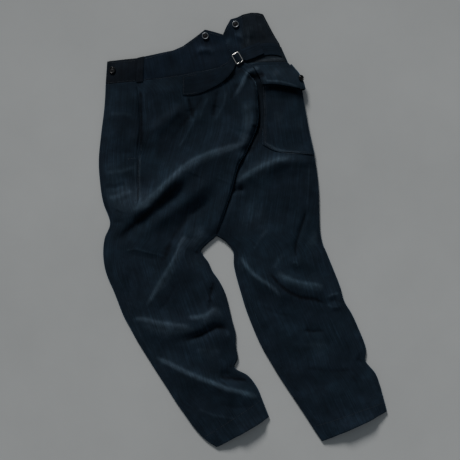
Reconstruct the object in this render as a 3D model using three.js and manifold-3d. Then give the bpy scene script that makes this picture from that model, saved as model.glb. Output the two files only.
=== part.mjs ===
// Corduroy trousers with a fishtail back, laid flat with the back up.
// Millimetres, +X to the right, +Y towards the waist, +Z up. The origin lies on the floor,
// under the middle of the garment.
import * as THREE from "three";
import { mergeVertices } from "three/addons/utils/BufferGeometryUtils.js";
import Module from "manifold-3d";

const wasm = await Module();
wasm.setup();

// Driving sizes
const CLOTH = 1.8; // one layer of corduroy
const BAND = 3.0; // waistband, two layers
const HEM = 2.8; // turned-up hem, two layers
const HEM_DEPTH = 38;
const HEM_EASE = 0.4; // rows over which the wall thickens to the hem
const SEAM_GAP = 0.45; // between pieces that are sewn together
const FOLD_RADIUS = 4; // outer radius where the cloth turns under at the sides
const PUFF = 8; // how far the upper layer stands above its folded edges
const PUFF_REACH = 26; // how fast it rises from the edge
const PUFF_POWER = 1.2;
const WAIST_CALM = { from: 445, to: 380, puff: 0.35 }; // above, the layers lie closer together
const RIM_EASE = 6; // the rise starts softly at an edge
const FOLD_START = 20; // folds die away this close to an edge
const FOLD_END = 0.12; // share of a fold's length over which it dies away past its ends
const FOLD_FULL = 0.2; // and within which it rises to its full height
const POCKET_STACK = 2.4; // room under the right side for the pocket that turns under
const FLAP_STACK = 4.8; // and for its flap
const STACK_INNER = { from: 34, to: 8 }; // how that room dies away past the pocket's hidden edge
const POCKET_HEIGHTS = { low: 150, lowFull: 172, highFull: 425, high: 450 }; // and along its height
const FLAP_HEIGHTS = { low: 322, lowFull: 344, highFull: 410, high: 432 };
const TAIL_DROP = { depth: 3.6, reach: 28, ease: 10 }; // the fishtail stands alone, one layer lower
const FORK_ROW = 8; // the row at the crotch, where the two legs part
const FORK_TURN = 0.7; // rows over which the crotch turns into the legs' inner edges
const FORK_BLEND = 1.2; // and over which the columns change from the fork's to the leg's
const LAST_ROW = 24;
const TORSO_STEPS = 2; // mesh rows for each row of the tables
const LEG_STEPS = 1.5;
const ROW_SPACING = 33; // between the rows of the table near the hem

// Rows from the waist seam down to the hem. side: the outer folded edge. outseam: how far in
// from that edge the side seam runs on top. dip: how far the row sags towards the hem.
const LEFT_ROWS = [
  { side: [-343, 363], outseam: 78, dip: 9 },
  { side: [-344, 335], outseam: 84, dip: 6 },
  { side: [-347, 296], outseam: 90, dip: 3 },
  { side: [-354, 240], outseam: 98, dip: 0 },
  { side: [-360, 175], outseam: 97, dip: 0 },
  { side: [-357, 120], outseam: 94, dip: 0 },
  { side: [-349, 69], outseam: 84, dip: 0 },
  { side: [-332, 18], outseam: 66, dip: 0 },
  { side: [-345, -20], outseam: 62, dip: 0 },
  { side: [-349, -55], outseam: 57, dip: 0 },
  { side: [-346, -89], outseam: 48, dip: 0 },
  { side: [-338, -118], outseam: 38, dip: 0 },
  { side: [-325, -147], outseam: 28, dip: 0 },
  { side: [-312, -180], outseam: 20, dip: 0 },
  { side: [-299, -213], outseam: 15, dip: 0 },
  { side: [-281, -246], outseam: 13, dip: 0 },
  { side: [-263, -279], outseam: 12, dip: 0 },
  { side: [-241, -314], outseam: 12, dip: 0 },
  { side: [-219, -349], outseam: 12, dip: 0 },
  { side: [-193, -389], outseam: 12, dip: 0 },
  { side: [-167, -430], outseam: 12, dip: 0 },
  { side: [-145, -461], outseam: 12, dip: 0 },
  { side: [-123, -492], outseam: 12, dip: 0 },
  { side: [-95, -522], outseam: 12, dip: 0 },
  { side: [-66, -542], outseam: 12, dip: 0 },
];

// under: how far in from the right edge the side seam runs beneath.
const RIGHT_ROWS = [
  { side: [112, 417], under: 112 },
  { side: [138, 380], under: 120 },
  { side: [150, 320], under: 130 },
  { side: [162, 252], under: 110 },
  { side: [177, 186], under: 85 },
  { side: [184, 148], under: 64 },
  { side: [189, 96], under: 52 },
  { side: [190, 50], under: 46 },
  { side: [192, 0], under: 42 },
  { side: [199, -34], under: 38 },
  { side: [208, -55], under: 36 },
  { side: [219, -82], under: 34 },
  { side: [232, -114], under: 32 },
  { side: [243, -143], under: 31 },
  { side: [253, -178], under: 30 },
  { side: [272, -210], under: 29 },
  { side: [290, -250], under: 28 },
  { side: [303, -282], under: 27 },
  { side: [307, -303], under: 26 },
  { side: [306, -327], under: 26 },
  { side: [330, -357], under: 25 },
  { side: [341, -385], under: 25 },
  { side: [348, -410], under: 25 },
  { side: [354, -432], under: 25 },
  { side: [359, -452], under: 25 },
];

// The back seam on top and the front seam beneath, from the waist seam to the crotch
const BACK_SEAM = [
  [-20, 414], [28, 372], [37, 320], [36, 262], [10, 199], [-12, 160], [-28, 100], [-46, 45], [-66, -15],
];
const FRONT_SEAM = [
  [-184, 382], [-176, 345], [-168, 298], [-160, 245], [-150, 190], [-137, 138], [-120, 85], [-97, 32],
  [-66, -15],
];

// The inner edge of each leg, from the crotch to the hem
const LEFT_INNER = [
  [-66, -15], [-101, -47], [-101, -60], [-86, -81], [-76, -103], [-60, -126], [-46, -153], [-37, -183],
  [-28, -222], [-19, -256], [-18, -288], [-13, -320], [-20, -344], [12, -363], [35, -392], [50, -428],
  [65, -466],
];
const RIGHT_INNER = [
  [-66, -15], [-43, -30], [-25, -54], [-23, -88], [-16, -120], [-6, -155], [6, -195], [20, -232],
  [35, -268], [51, -300], [67, -327], [88, -362], [111, -397], [133, -430], [155, -463], [176, -496],
  [197, -527],
];
const LEFT_INSEAM_UNDER = 24; // the left leg's inside seam lies beneath, this far in
const RIGHT_INSEAM_TOP = 15; // the right leg's turns up on to the top, past the fold

// Upper edge of the waist. rise: how far the edge stands above a straight line between its ends.
const WAIST_LEFT = [-339, 420];
const WAIST_FRONT_SEAM = [-190, 434];
const WAIST_BACK_NOTCH = [-50, 487];
const WAIST_RIGHT = [95, 457];
const LEFT_TAIL = [
  { along: 0, rise: 0 }, { along: 0.26, rise: -10 }, { along: 0.57, rise: -11 }, { along: 0.655, rise: -6 },
  { along: 0.725, rise: 4 }, { along: 0.79, rise: 14 }, { along: 0.845, rise: 23 },
  { along: 0.915, rise: 13 }, { along: 1, rise: 0 },
];
const RIGHT_TAIL = [
  { along: 0, rise: 0 }, { along: 0.055, rise: 20 }, { along: 0.13, rise: 42 }, { along: 0.24, rise: 50 },
  { along: 0.34, rise: 60 }, { along: 0.48, rise: 69 }, { along: 0.6, rise: 72 }, { along: 0.69, rise: 71 },
  { along: 0.86, rise: 29 }, { along: 1, rise: 0 },
];

// Folds of the upper layer. crest: the line that a fold follows. high: its height, below 0 for a
// hollow. above, below: how far it spreads on the side towards the waist and towards the hem.
const FOLDS = [
  { high: 7, above: 40, below: 42, crest: [[14, 220], [-45, 196], [-103, 174], [-147, 148], [-197, 104]] },
  { high: 12, above: 36, below: 20, crest: [[-141, 144], [-193, 98], [-228, 60], [-282, 36]] },
  { high: -6, above: 12, below: 18, crest: [[-150, 104], [-203, 58], [-262, 10], [-308, -24]] },
  { high: 8, above: 26, below: 20, crest: [[-75, 130], [-115, 97], [-160, 60], [-250, 0]] },
  { high: -5, above: 14, below: 18, crest: [[-80, 75], [-130, 40], [-165, -5]] },
  { high: 6, above: 22, below: 18, crest: [[-130, 0], [-105, -5]] },
  { high: 5, above: 18, below: 50, crest: [[-150, -15], [-165, -45], [-200, -120], [-250, -195]] },
  { high: -1.5, above: 12, below: 12, crest: [[-295, -50], [-230, -64], [-200, -68]] },
  { high: 8, above: 30, below: 46,
    crest: [[-275, -224], [-200, -236], [-150, -241], [-110, -236], [-60, -199]] },
  { high: -5, above: 12, below: 14, crest: [[-155, -273], [-105, -262], [-68, -242], [-33, -246]] },
  { high: 9, above: 26, below: 32, crest: [[-205, -322], [-150, -351], [-75, -382], [0, -406]] },
  { high: -6, above: 14, below: 12, crest: [[-60, -362], [-30, -364], [5, -366]] },
  { high: 8, above: 26, below: 46, crest: [[-14, 112], [33, 142], [86, 169], [152, 166]] },
  { high: -4, above: 22, below: 30, crest: [[10, 105], [45, 125], [125, 152]] },
  { high: -2, above: 9, below: 9, crest: [[154, 32], [140, -8], [130, -50], [132, -72]] },
  { high: 3, above: 14, below: 14, crest: [[132, -80], [116, -86]] },
  { high: 6, above: 22, below: 26, crest: [[-5, -75], [25, -112], [80, -145], [120, -175]] },
  { high: 5, above: 20, below: 32, crest: [[98, -122], [150, -138], [200, -142]] },
  { high: 3, above: 14, below: 14, crest: [[212, -163], [235, -160], [240, -186], [222, -188]] },
  { high: -5, above: 18, below: 20, crest: [[150, -248], [197, -250]] },
  { high: -8, above: 10, below: 4, crest: [[34, 350], [37, 300], [36, 255], [12, 203], [-4, 186]] },
  { high: 6, above: 20, below: 20, crest: [[12, 320], [12, 270], [0, 240]] },
  { high: -4, above: 9, below: 9, crest: [[-28, 100], [4, 100]] },
  { high: 5, above: 12, below: 14, crest: [[-150, 305], [-190, 275], [-230, 240]] },
  { high: -3, above: 9, below: 9, crest: [[-135, 300], [-128, 270]] },
  { high: -3, above: 9, below: 9, crest: [[-66, 310], [-72, 280]] },
  { high: 7, above: 20, below: 20, crest: [[-20, -510], [60, -478]] },
  { high: 7, above: 20, below: 20, crest: [[240, -505], [335, -466]] },
  { high: 3, above: 12, below: 12, crest: [[-112, 452], [-78, 446]] },
  { high: 3, above: 16, below: 16, crest: [[12, 478], [14, 505]] },
];

// Pocket, flap and straps, as outlines seen from above
const POCKET_OUTLINE = [
  [47, 398], [50, 360], [49, 300], [48, 212], [68, 200], [90, 190], [112, 186], [240, 187], [240, 398],
];
const FLAP_OUTLINE = [[46, 405], [52, 366], [84, 365], [240, 345], [240, 405]];
const POCKET_LAST_ROW = 5; // mesh rows that the pocket and flap are cut from
const FLAP_LAST_ROW = 2;
const PATCH_GAP = 0.35; // between a patch and what it lies on
const POCKET_UNDER = 66; // how far the pocket turns under the right side
const FLAP_TILT = 7; // how far the flap's free edge stands off
const FLAP_ROWS = { sewn: 0.3, free: 1.6 };
const FLAP_TURN = { flat: -0.1, full: 0.5 }; // it lies flat again where the cloth turns under

const BUCKLE = { at: [-14, 426], turn: 30, length: 28, width: 20, wire: 2.4, corner: 3, barShorter: 0.2 };
const BUCKLE_HEIGHT = 6; // underside of the frame above the waistband
const STRAP_NARROW = 22; // width of the strap inside the buckle
const STRAP_LIFT = 1.1; // straps above what they lie on
const STRAP_PAST_FRAME = 2; // the strap runs level this far past the frame
const STRAP_PAST_BAR = 0.4; // and this far past the middle bar

// Sections of the long strap, from its sewn end to the buckle
const STRAP_SECTIONS = [
  { upper: [-150, 382], lower: [-150, 335], upperLift: 0.9, lowerLift: 0.9 },
  { upper: [-133, 385], lower: [-133, 334], upperLift: 0.9, lowerLift: 1 },
  { upper: [-112, 389], lower: [-108, 339], upperLift: 0.9, lowerLift: 1.6 },
  { upper: [-86, 393], lower: [-84, 347], upperLift: 1.1, lowerLift: 3.8 },
  { upper: [-60, 400], lower: [-58, 358], upperLift: 1.5, lowerLift: 6 },
  { upper: [-42, 411], lower: [-36, 377], upperLift: 2.2, lowerLift: 7 },
  { upper: [-34, 422], lower: [-24, 396], upperLift: 2.8, lowerLift: 6 },
];
// Its free end, beyond the buckle
const TAIL_SECTIONS = [
  { upper: [-4, 448], lower: [9, 420], upperLift: 4, lowerLift: 4.2 },
  { upper: [14, 456], lower: [27, 426], upperLift: 4, lowerLift: 5.4 },
  { upper: [41, 467], lower: [52, 438], upperLift: 4, lowerLift: 6 },
];
// The short strap, from the buckle to the right side
const SHORT_STRAP_SECTIONS = [
  { upper: [-11, 439], lower: [-2, 422] },
  { upper: [2, 448], lower: [14, 424] },
  { upper: [30, 458], lower: [40, 430] },
  { upper: [52, 465], lower: [62, 435] },
  { upper: [74, 465], lower: [82, 435] },
  { upper: [88, 459], lower: [96, 431] },
];

const TAB_WIDTH = 17;
const TAB_FOOT_ROW = 0.3;
const TAB_LIFT = 0.6;
const TAB_START = 1; // past the side seam

const BUTTON_SIDES = 20;
const BUTTON_GAP = 0.5;
const FLAP_BUTTON_ROW = 1.1;
const FLAP_BUTTON_FROM_EDGE = 4;
const BRACE_BUTTON = { radius: 8.3, rim: 1.6, thick: 3.4, hollow: 4.2 };
const FLAP_BUTTON = { radius: 7.5, rim: 1.4, thick: 3, hollow: 4.4 };
const BUTTON_SHAPE = { stem: 0.6, chamfer: 0.8, foot: 0.6, lip: 0.7, slope: 1.1, dish: 1.3 };
const BACK_LEFT_BUTTON = [-94, 483];
const BACK_RIGHT_BUTTON = [-19, 512];
const FRONT_LEFT_BUTTON = [-325, 397];

const colours = { cloth: 0x161d28, metal: 0xb9b6ae, button: 0x8f8c85 };
const cloth = () => new THREE.MeshStandardMaterial({ color: colours.cloth, roughness: 0.95, metalness: 0 });
const metal = () => new THREE.MeshStandardMaterial({ color: colours.metal, roughness: 0.3, metalness: 1 });
const buttonMetal = () =>
  new THREE.MeshStandardMaterial({ color: colours.button, roughness: 0.35, metalness: 1 });

// Small helpers
const mix = (a, b, f) => a + (b - a) * f;
const mixPoint = (p, q, f) => p.map((value, k) => mix(value, q[k], f));
const clamp = (value, low, high) => Math.min(Math.max(value, low), high);
const smooth = (from, to, value) => {
  const f = clamp((value - from) / (to - from), 0, 1);
  return f * f * (3 - 2 * f);
};
const unit = (x, y) => {
  const length = Math.hypot(x, y) || 1;
  return [x / length, y / length];
};
const steps = (from, to, count) => Array.from({ length: count + 1 }, (_, k) => mix(from, to, k / count));

// A smooth curve through the values of a table, read at row v
function spline(values, v) {
  const last = values.length - 1;
  const k = clamp(Math.floor(v), 0, last - 1);
  const f = v - k;
  const at = (i) => values[clamp(i, 0, last)];
  const blend = (a, b, c, d) =>
    0.5 * (2 * b + (c - a) * f + (2 * a - 5 * b + 4 * c - d) * f * f + (3 * b - 3 * c + d - a) * f * f * f);
  const [a, b, c, d] = [at(k - 1), at(k), at(k + 1), at(k + 2)];
  return Array.isArray(b) ? b.map((_, i) => blend(a[i], b[i], c[i], d[i])) : blend(a, b, c, d);
}

// The two halves of the garment. Rows from -1 to 0 are the waistband.
const left = {
  sides: LEFT_ROWS.map((row) => row.side),
  inner: LEFT_INNER,
  waist: WAIST_LEFT,
  tail: LEFT_TAIL,
  dips: LEFT_ROWS.map((row) => row.dip),
};
const right = {
  sides: RIGHT_ROWS.map((row) => row.side),
  inner: RIGHT_INNER,
  waist: WAIST_RIGHT,
  tail: RIGHT_TAIL,
  dips: RIGHT_ROWS.map(() => 0),
};
const OUTSEAMS = LEFT_ROWS.map((row) => row.outseam);
const UNDERS = RIGHT_ROWS.map((row) => row.under);

const sidePoint = (half, v) => (v < 0 ? mixPoint(half.sides[0], half.waist, -v) : spline(half.sides, v));
function centrePoint(half, v, seam, waist) {
  if (v < 0) return mixPoint(seam[0], waist, -v);
  return v <= FORK_ROW ? spline(seam, v) : spline(half.inner, v - FORK_ROW);
}
const backCentre = (half, v) => centrePoint(half, v, BACK_SEAM, WAIST_BACK_NOTCH);
const frontCentre = (half, v) => centrePoint(half, v, FRONT_SEAM, WAIST_FRONT_SEAM);

// Direction out of the garment at an edge curve
function outward(curve, v, from, to, sign) {
  const step = 0.2;
  const a = curve(clamp(v - step, from, to));
  const b = curve(clamp(v + step, from, to));
  const [x, y] = unit(b[0] - a[0], b[1] - a[1]);
  return [sign * y, -sign * x];
}
const sideOutward = (half, v) =>
  outward((row) => sidePoint(half, row), v, -1, LAST_ROW, half === left ? 1 : -1);
function innerOutward(half, v) {
  const out = outward((row) => backCentre(half, row), v, FORK_ROW, LAST_ROW, half === left ? -1 : 1);
  const f = smooth(FORK_ROW, FORK_ROW + FORK_TURN, v);
  return unit(mix(0, out[0], f), mix(-1, out[1], f));
}

// Mesh rows, and the folded edges as chains of short lines
const legRows = steps(FORK_ROW, LAST_ROW, Math.round((LAST_ROW - FORK_ROW) * LEG_STEPS));
const bodyRows = [...steps(0, FORK_ROW, FORK_ROW * TORSO_STEPS), ...legRows.slice(1)];
const bandRows = [-0.009, -0.25, -0.5, -0.75, -1];
const edgeRows = [...[...bandRows].reverse(), ...bodyRows];
const edges = [
  edgeRows.map((v) => sidePoint(left, v)),
  edgeRows.map((v) => sidePoint(right, v)),
  legRows.map((v) => backCentre(left, v)),
  legRows.map((v) => backCentre(right, v)),
];

// Nearest place on a chain of points: distance, side and how far along, from 0 to 1.
// The side towards the waist leans a little to the right.
const OVER_LEAN = 0.4;
function nearest(chain, x, y) {
  let best = { distance: Infinity };
  for (let k = 0; k + 1 < chain.length; k++) {
    const [ax, ay] = chain[k];
    const dx = chain[k + 1][0] - ax;
    const dy = chain[k + 1][1] - ay;
    const f = clamp(((x - ax) * dx + (y - ay) * dy) / (dx * dx + dy * dy), 0, 1);
    const distance = Math.hypot(x - ax - dx * f, y - ay - dy * f);
    if (distance < best.distance) {
      const over = y - ay - dy * f + (x - ax - dx * f) * OVER_LEAN;
      best = { distance, along: (k + f) / (chain.length - 1), over };
    }
  }
  return best;
}
const edgeDistance = (x, y) => Math.min(...edges.map((chain) => nearest(chain, x, y).distance));

function foldHeight(x, y) {
  return FOLDS.reduce((sum, fold) => {
    const { distance, along, over } = nearest(fold.crest, x, y);
    const spread = over > 0 ? fold.above : fold.below;
    const taper = smooth(-FOLD_END, FOLD_FULL, along) * smooth(1 + FOLD_END, 1 - FOLD_FULL, along);
    return sum + fold.high * taper * Math.exp(-((distance / spread) ** 2));
  }, 0);
}

// How far a point lies beyond the front waistband's upper edge, on the tail that stands alone
const tailDepth = (x, y) => {
  const f = (x - WAIST_LEFT[0]) / (WAIST_RIGHT[0] - WAIST_LEFT[0]);
  return y - mix(WAIST_LEFT[1], WAIST_RIGHT[1], f);
};

// The room that the turned-under pocket and flap take beneath the right side
function underLift(x, y) {
  const inFrom = nearest(edges[1], x, y).distance;
  const reach = smooth(POCKET_UNDER + STACK_INNER.from, POCKET_UNDER + STACK_INNER.to, inFrom);
  const within = ({ low, lowFull, highFull, high }) => smooth(low, lowFull, y) * smooth(high, highFull, y);
  const extra = FLAP_STACK - POCKET_STACK;
  return reach * (POCKET_STACK * within(POCKET_HEIGHTS) + extra * within(FLAP_HEIGHTS));
}

// Height of the outer face of the upper layer
function topHeight(x, y) {
  const inside = Math.max(edgeDistance(x, y) - FOLD_RADIUS, 0);
  const calm = smooth(WAIST_CALM.from, WAIST_CALM.to, y);
  const rise = 1 - Math.exp(-((inside / PUFF_REACH) ** PUFF_POWER));
  const puff = PUFF * mix(WAIST_CALM.puff, 1, calm) * rise;
  const folds = foldHeight(x, y) * smooth(0, FOLD_START, inside);
  const raised = puff + folds;
  const kept = raised > 1 ? raised : Math.exp(raised - 1);
  const drop = TAIL_DROP.depth * smooth(0, TAIL_DROP.reach, tailDepth(x, y));
  const upper = kept * smooth(0, RIM_EASE, inside) - drop * smooth(0, TAIL_DROP.ease, inside);
  return underLift(x, y) + 2 * FOLD_RADIUS + upper;
}

// A place on the cloth: its outer point and the direction out of the cloth there
function surface(height, x, y, sign) {
  const step = 1.5;
  const slopeX = (height(x + step, y) - height(x - step, y)) / (2 * step);
  const slopeY = (height(x, y + step) - height(x, y - step)) / (2 * step);
  const normal = new THREE.Vector3(-slopeX, -slopeY, 1).normalize().multiplyScalar(sign);
  return { point: new THREE.Vector3(x, y, height(x, y)), normal };
}
const onTop = (x, y) => surface(topHeight, x, y, 1);
const beneath = (x, y) => surface(underLift, x, y, -1);

// A place on the round of a folded edge, at an angle from 90 (top) to -90 degrees (floor)
function onFold(rim, out, angle) {
  const inFrom = FOLD_RADIUS * (1 - Math.cos(angle));
  const [x, y] = [rim[0] - out[0] * inFrom, rim[1] - out[1] * inFrom];
  const z = underLift(x, y) + FOLD_RADIUS * (1 + Math.sin(angle));
  const flat = Math.cos(angle);
  const normal = new THREE.Vector3(out[0] * flat, out[1] * flat, Math.sin(angle));
  return { point: new THREE.Vector3(x, y, z), normal };
}

const tailRise = (half, f) => {
  const k = half.tail.findIndex((row) => row.along >= f);
  if (k <= 0) return half.tail[Math.max(k, 0)].rise;
  const [a, b] = [half.tail[k - 1], half.tail[k]];
  return mix(a.rise, b.rise, (f - a.along) / (b.along - a.along));
};

// The upper line of a row: f runs from the outer edge, 0, to the back seam or inner edge, 1
function topLine(half, v, f) {
  const [x, y] = mixPoint(sidePoint(half, v), backCentre(half, v), f);
  const sag = spline(half.dips, Math.max(v, 0)) * 4 * f * (1 - f);
  const share = half === left ? f : 1 - f;
  return [x, y - sag * (v < 0 ? 1 + v : 1) + (v < 0 ? -v * tailRise(half, share) : 0)];
}
const underLine = (half, v, f) => mixPoint(sidePoint(half, v), frontCentre(half, v), f);
const lineLength = (half, v, centre) => {
  const [a, b] = [sidePoint(half, v), centre(half, v)];
  return Math.hypot(a[0] - b[0], a[1] - b[1]);
};
const topAt = (half, v, f) => onTop(...topLine(half, v, f));
const underAt = (half, v, f) => beneath(...underLine(half, v, f));

// Surface length from the middle of a fold to where the cloth is flat again
const ROUND = (Math.PI / 2) * FOLD_RADIUS;

// The share of a line that lies within a surface length e of its end
const shareOf = (e, length, round) => (round ? FOLD_RADIUS + Math.abs(e) - ROUND : Math.abs(e)) / length;

// A place near the outer edge: e > 0 lies on top, e < 0 beneath
function nearSide(half, v, e) {
  if (Math.abs(e) <= ROUND) return onFold(sidePoint(half, v), sideOutward(half, v), e / FOLD_RADIUS);
  if (e > 0) return topAt(half, v, shareOf(e, lineLength(half, v, backCentre), true));
  return underAt(half, v, shareOf(e, lineLength(half, v, frontCentre), true));
}

// A place near the centre seams or, on a leg, near its inner edge
function nearCentre(half, v, e) {
  const onLeg = v >= FORK_ROW;
  if (onLeg && Math.abs(e) <= ROUND) {
    return onFold(backCentre(half, v), innerOutward(half, v), e / FOLD_RADIUS);
  }
  if (e >= 0) return topAt(half, v, 1 - shareOf(e, lineLength(half, v, backCentre), onLeg));
  return underAt(half, v, 1 - shareOf(e, lineLength(half, v, frontCentre), onLeg));
}

// Columns near the centre: one list for the body, one at the fork and one for the leg
function centreColumns(v, body, fork, leg) {
  if (v < FORK_ROW) return body;
  return mixPoint(fork, leg, smooth(FORK_ROW, FORK_ROW + FORK_BLEND, v));
}

// Shares of a line between two of its places
const between = (from, to, count) => steps(from, to, count + 1).slice(1, -1);

// Mesh columns across the flat stretches of each panel
const COLUMNS = { backLeft: 7, backRight: 9, frontLeftTop: 3, frontLeftUnder: 4, frontRight: 4 };

const HALF_GAP = SEAM_GAP / 2;
const FORK_GAP = 0.6; // four pieces meet at the crotch, a little wider apart
const UNDER_END = -(ROUND + LEFT_INSEAM_UNDER);
const TOP_END = ROUND + RIGHT_INSEAM_TOP;
const ROUND_COLUMNS = [ROUND, ROUND / 2, 0, -ROUND / 2, -ROUND];

function backLeftRow(v) {
  const ends = centreColumns(
    v,
    [10, 8, 6, 4, 2, HALF_GAP],
    steps(ROUND, FORK_GAP, 5),
    [...ROUND_COLUMNS, UNDER_END + HALF_GAP],
  );
  const length = lineLength(left, v, backCentre);
  const start = (spline(OUTSEAMS, Math.max(v, 0)) + HALF_GAP) / length;
  const stop = 1 - shareOf(ends[0], length, v >= FORK_ROW);
  const across = [start, ...between(start, stop, COLUMNS.backLeft)].map((f) => topAt(left, v, f));
  return [...across, ...ends.map((e) => nearCentre(left, v, e))];
}

function frontLeftRow(v) {
  const ends = centreColumns(
    v,
    [-12, -7, -HALF_GAP],
    [-(ROUND + 10), -ROUND, -FORK_GAP],
    [UNDER_END - 12, UNDER_END - 6, UNDER_END - HALF_GAP],
  );
  const length = lineLength(left, v, backCentre);
  const start = (spline(OUTSEAMS, Math.max(v, 0)) - HALF_GAP) / length;
  const topShares = [start, ...between(start, FOLD_RADIUS / length, COLUMNS.frontLeftTop)];
  const across = topShares.map((f) => topAt(left, v, f));
  const span = lineLength(left, v, frontCentre);
  const stop = 1 - shareOf(ends[0], span, v >= FORK_ROW);
  const under = between(FOLD_RADIUS / span, stop, COLUMNS.frontLeftUnder).map((f) => underAt(left, v, f));
  return [
    ...across,
    ...ROUND_COLUMNS.map((e) => nearSide(left, v, e)),
    ...under,
    ...ends.map((e) => nearCentre(left, v, e)),
  ];
}

const underSeam = (v) => spline(UNDERS, Math.max(v, 0));
const UNDER_PAST = 10; // a column beneath lies this far past the pocket's hidden edge
const UNDER_CLEAR = 8; // and at least this far from the seam

function backRightRow(v) {
  const ends = centreColumns(
    v,
    [HALF_GAP, 6, 12],
    [FORK_GAP, ROUND, ROUND + 5],
    [TOP_END + HALF_GAP, TOP_END + 6, TOP_END + 12],
  );
  const length = lineLength(right, v, backCentre);
  const stop = 1 - shareOf(ends[2], length, v >= FORK_ROW);
  const across = between(stop, FOLD_RADIUS / length, COLUMNS.backRight).map((f) => topAt(right, v, f));
  const underEnd = underSeam(v) - HALF_GAP;
  const flatUnder = Math.min(POCKET_UNDER + UNDER_PAST, underEnd - UNDER_CLEAR);
  return [
    ...ends.map((e) => nearCentre(right, v, e)),
    ...across,
    ...ROUND_COLUMNS.map((e) => nearSide(right, v, e)),
    ...[(flatUnder + ROUND) / 2, flatUnder, underEnd].map((e) => nearSide(right, v, -e)),
  ];
}

function frontRightRow(v) {
  const ends = centreColumns(
    v,
    [-24, -20, -16, -12, -8, -4, -HALF_GAP],
    steps(-(ROUND + 12), -FORK_GAP, 6),
    [...[...ROUND_COLUMNS].reverse(), ROUND + RIGHT_INSEAM_TOP / 2, TOP_END - HALF_GAP],
  );
  const span = lineLength(right, v, frontCentre);
  const start = shareOf(underSeam(v) + HALF_GAP, span, true);
  const stop = 1 - shareOf(ends[0], span, v >= FORK_ROW);
  const under = [start, ...between(start, stop, COLUMNS.frontRight)].map((f) => underAt(right, v, f));
  return [...under, ...ends.map((e) => nearCentre(right, v, e))];
}

// Joins and cuts
const TRIM_BLOCK = { low: -40, depth: 120 }; // height of the block that an outline cuts with
function solidOf(geometry) {
  const bare = new THREE.BufferGeometry();
  bare.setAttribute("position", geometry.getAttribute("position").clone());
  if (geometry.index) bare.setIndex(geometry.index.clone());
  const merged = mergeVertices(bare, 1e-3);
  return new wasm.Manifold(
    new wasm.Mesh({
      numProp: 3,
      vertProperties: new Float32Array(merged.attributes.position.array),
      triVerts: new Uint32Array(merged.index.array),
    }),
  );
}
function geometryOf(solid) {
  const mesh = solid.getMesh();
  const geometry = new THREE.BufferGeometry();
  geometry.setAttribute("position", new THREE.BufferAttribute(new Float32Array(mesh.vertProperties), 3));
  geometry.setIndex(new THREE.BufferAttribute(new Uint32Array(mesh.triVerts), 1));
  return geometry;
}
function trimmed(geometry, outline) {
  const shape = new THREE.Shape(outline.map(([x, y]) => new THREE.Vector2(x, y)));
  const block = new THREE.ExtrudeGeometry(shape, { depth: TRIM_BLOCK.depth, bevelEnabled: false });
  block.translate(0, 0, TRIM_BLOCK.low);
  return geometryOf(solidOf(geometry).intersect(solidOf(block)));
}

// A closed wall from a grid of places. outer and inner give, for a place and its row, how far
// each face lies from the garment's own outer face.
function wallGeometry(grid, outer, inner) {
  const rows = grid.length;
  const columns = grid[0].length;
  const positions = [];
  const faces = [];
  for (const lift of [outer, inner]) {
    grid.forEach((row, i) =>
      row.forEach((place) => {
        positions.push(...place.point.clone().addScaledVector(place.normal, lift(place, i)));
      }),
    );
  }
  const at = (side, i, j) => side * rows * columns + i * columns + j;
  const quad = (a, b, c, d) => faces.push(a, b, c, a, c, d);
  for (let i = 0; i + 1 < rows; i++) {
    for (let j = 0; j + 1 < columns; j++) {
      quad(at(0, i, j), at(0, i + 1, j), at(0, i + 1, j + 1), at(0, i, j + 1));
      quad(at(1, i, j), at(1, i, j + 1), at(1, i + 1, j + 1), at(1, i + 1, j));
    }
    quad(at(1, i, 0), at(1, i + 1, 0), at(0, i + 1, 0), at(0, i, 0));
    quad(at(0, i, columns - 1), at(0, i + 1, columns - 1), at(1, i + 1, columns - 1), at(1, i, columns - 1));
  }
  for (let j = 0; j + 1 < columns; j++) {
    quad(at(0, 0, j), at(0, 0, j + 1), at(1, 0, j + 1), at(1, 0, j));
    quad(at(1, rows - 1, j), at(1, rows - 1, j + 1), at(0, rows - 1, j + 1), at(0, rows - 1, j));
  }
  const geometry = new THREE.BufferGeometry();
  geometry.setAttribute("position", new THREE.Float32BufferAttribute(positions, 3));
  geometry.setIndex(faces);
  return geometry;
}

// The same wall with its faces pointing out, whichever way its columns run
function wall(grid, outer, inner) {
  const geometry = wallGeometry(grid, outer, inner);
  if (solidOf(geometry).volume() > 0) return geometry;
  return wallGeometry(grid.map((row) => [...row].reverse()), outer, inner);
}

function piece(name, geometry, material) {
  const mesh = new THREE.Mesh(geometry, material);
  mesh.name = name;
  return mesh;
}

// Leg panels are one layer thick, doubled at the turned-up hem
function panel(name, rowOf) {
  const hemStart = LAST_ROW - HEM_DEPTH / ROW_SPACING;
  const thickness = (v) => mix(CLOTH, HEM, smooth(hemStart - HEM_EASE, hemStart, v));
  const grid = bodyRows.map((v) => rowOf(v));
  return piece(name, wall(grid, () => 0, (place, i) => -thickness(bodyRows[i])), cloth());
}

function waistband(name, rowOf) {
  const grid = bandRows.map((v) => rowOf(v));
  return piece(name, wall(grid, () => 0, () => -BAND), cloth());
}

// A patch on the back right panel, made from the panel's own places and cut to its outline.
// It turns under the right side with the panel.
function patch(name, lastRow, outline, lift) {
  const rows = bodyRows.filter((v) => v <= lastRow);
  const under = steps(ROUND, ROUND + POCKET_UNDER, 3).slice(1);
  const grid = rows.map((v) => [
    ...backRightRow(v).slice(1, -3),
    ...under.map((e) => nearSide(right, v, -e)),
  ]);
  const inner = (place, i) => lift(rows[i], place);
  return piece(name, trimmed(wall(grid, (place, i) => inner(place, i) + CLOTH, inner), outline), cloth());
}
const flapLift = (v, place) => {
  const stack = 2 * PATCH_GAP + CLOTH;
  const stands = smooth(FLAP_ROWS.sewn, FLAP_ROWS.free, v);
  return stack + FLAP_TILT * stands * smooth(FLAP_TURN.flat, FLAP_TURN.full, place.normal.z);
};

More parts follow.
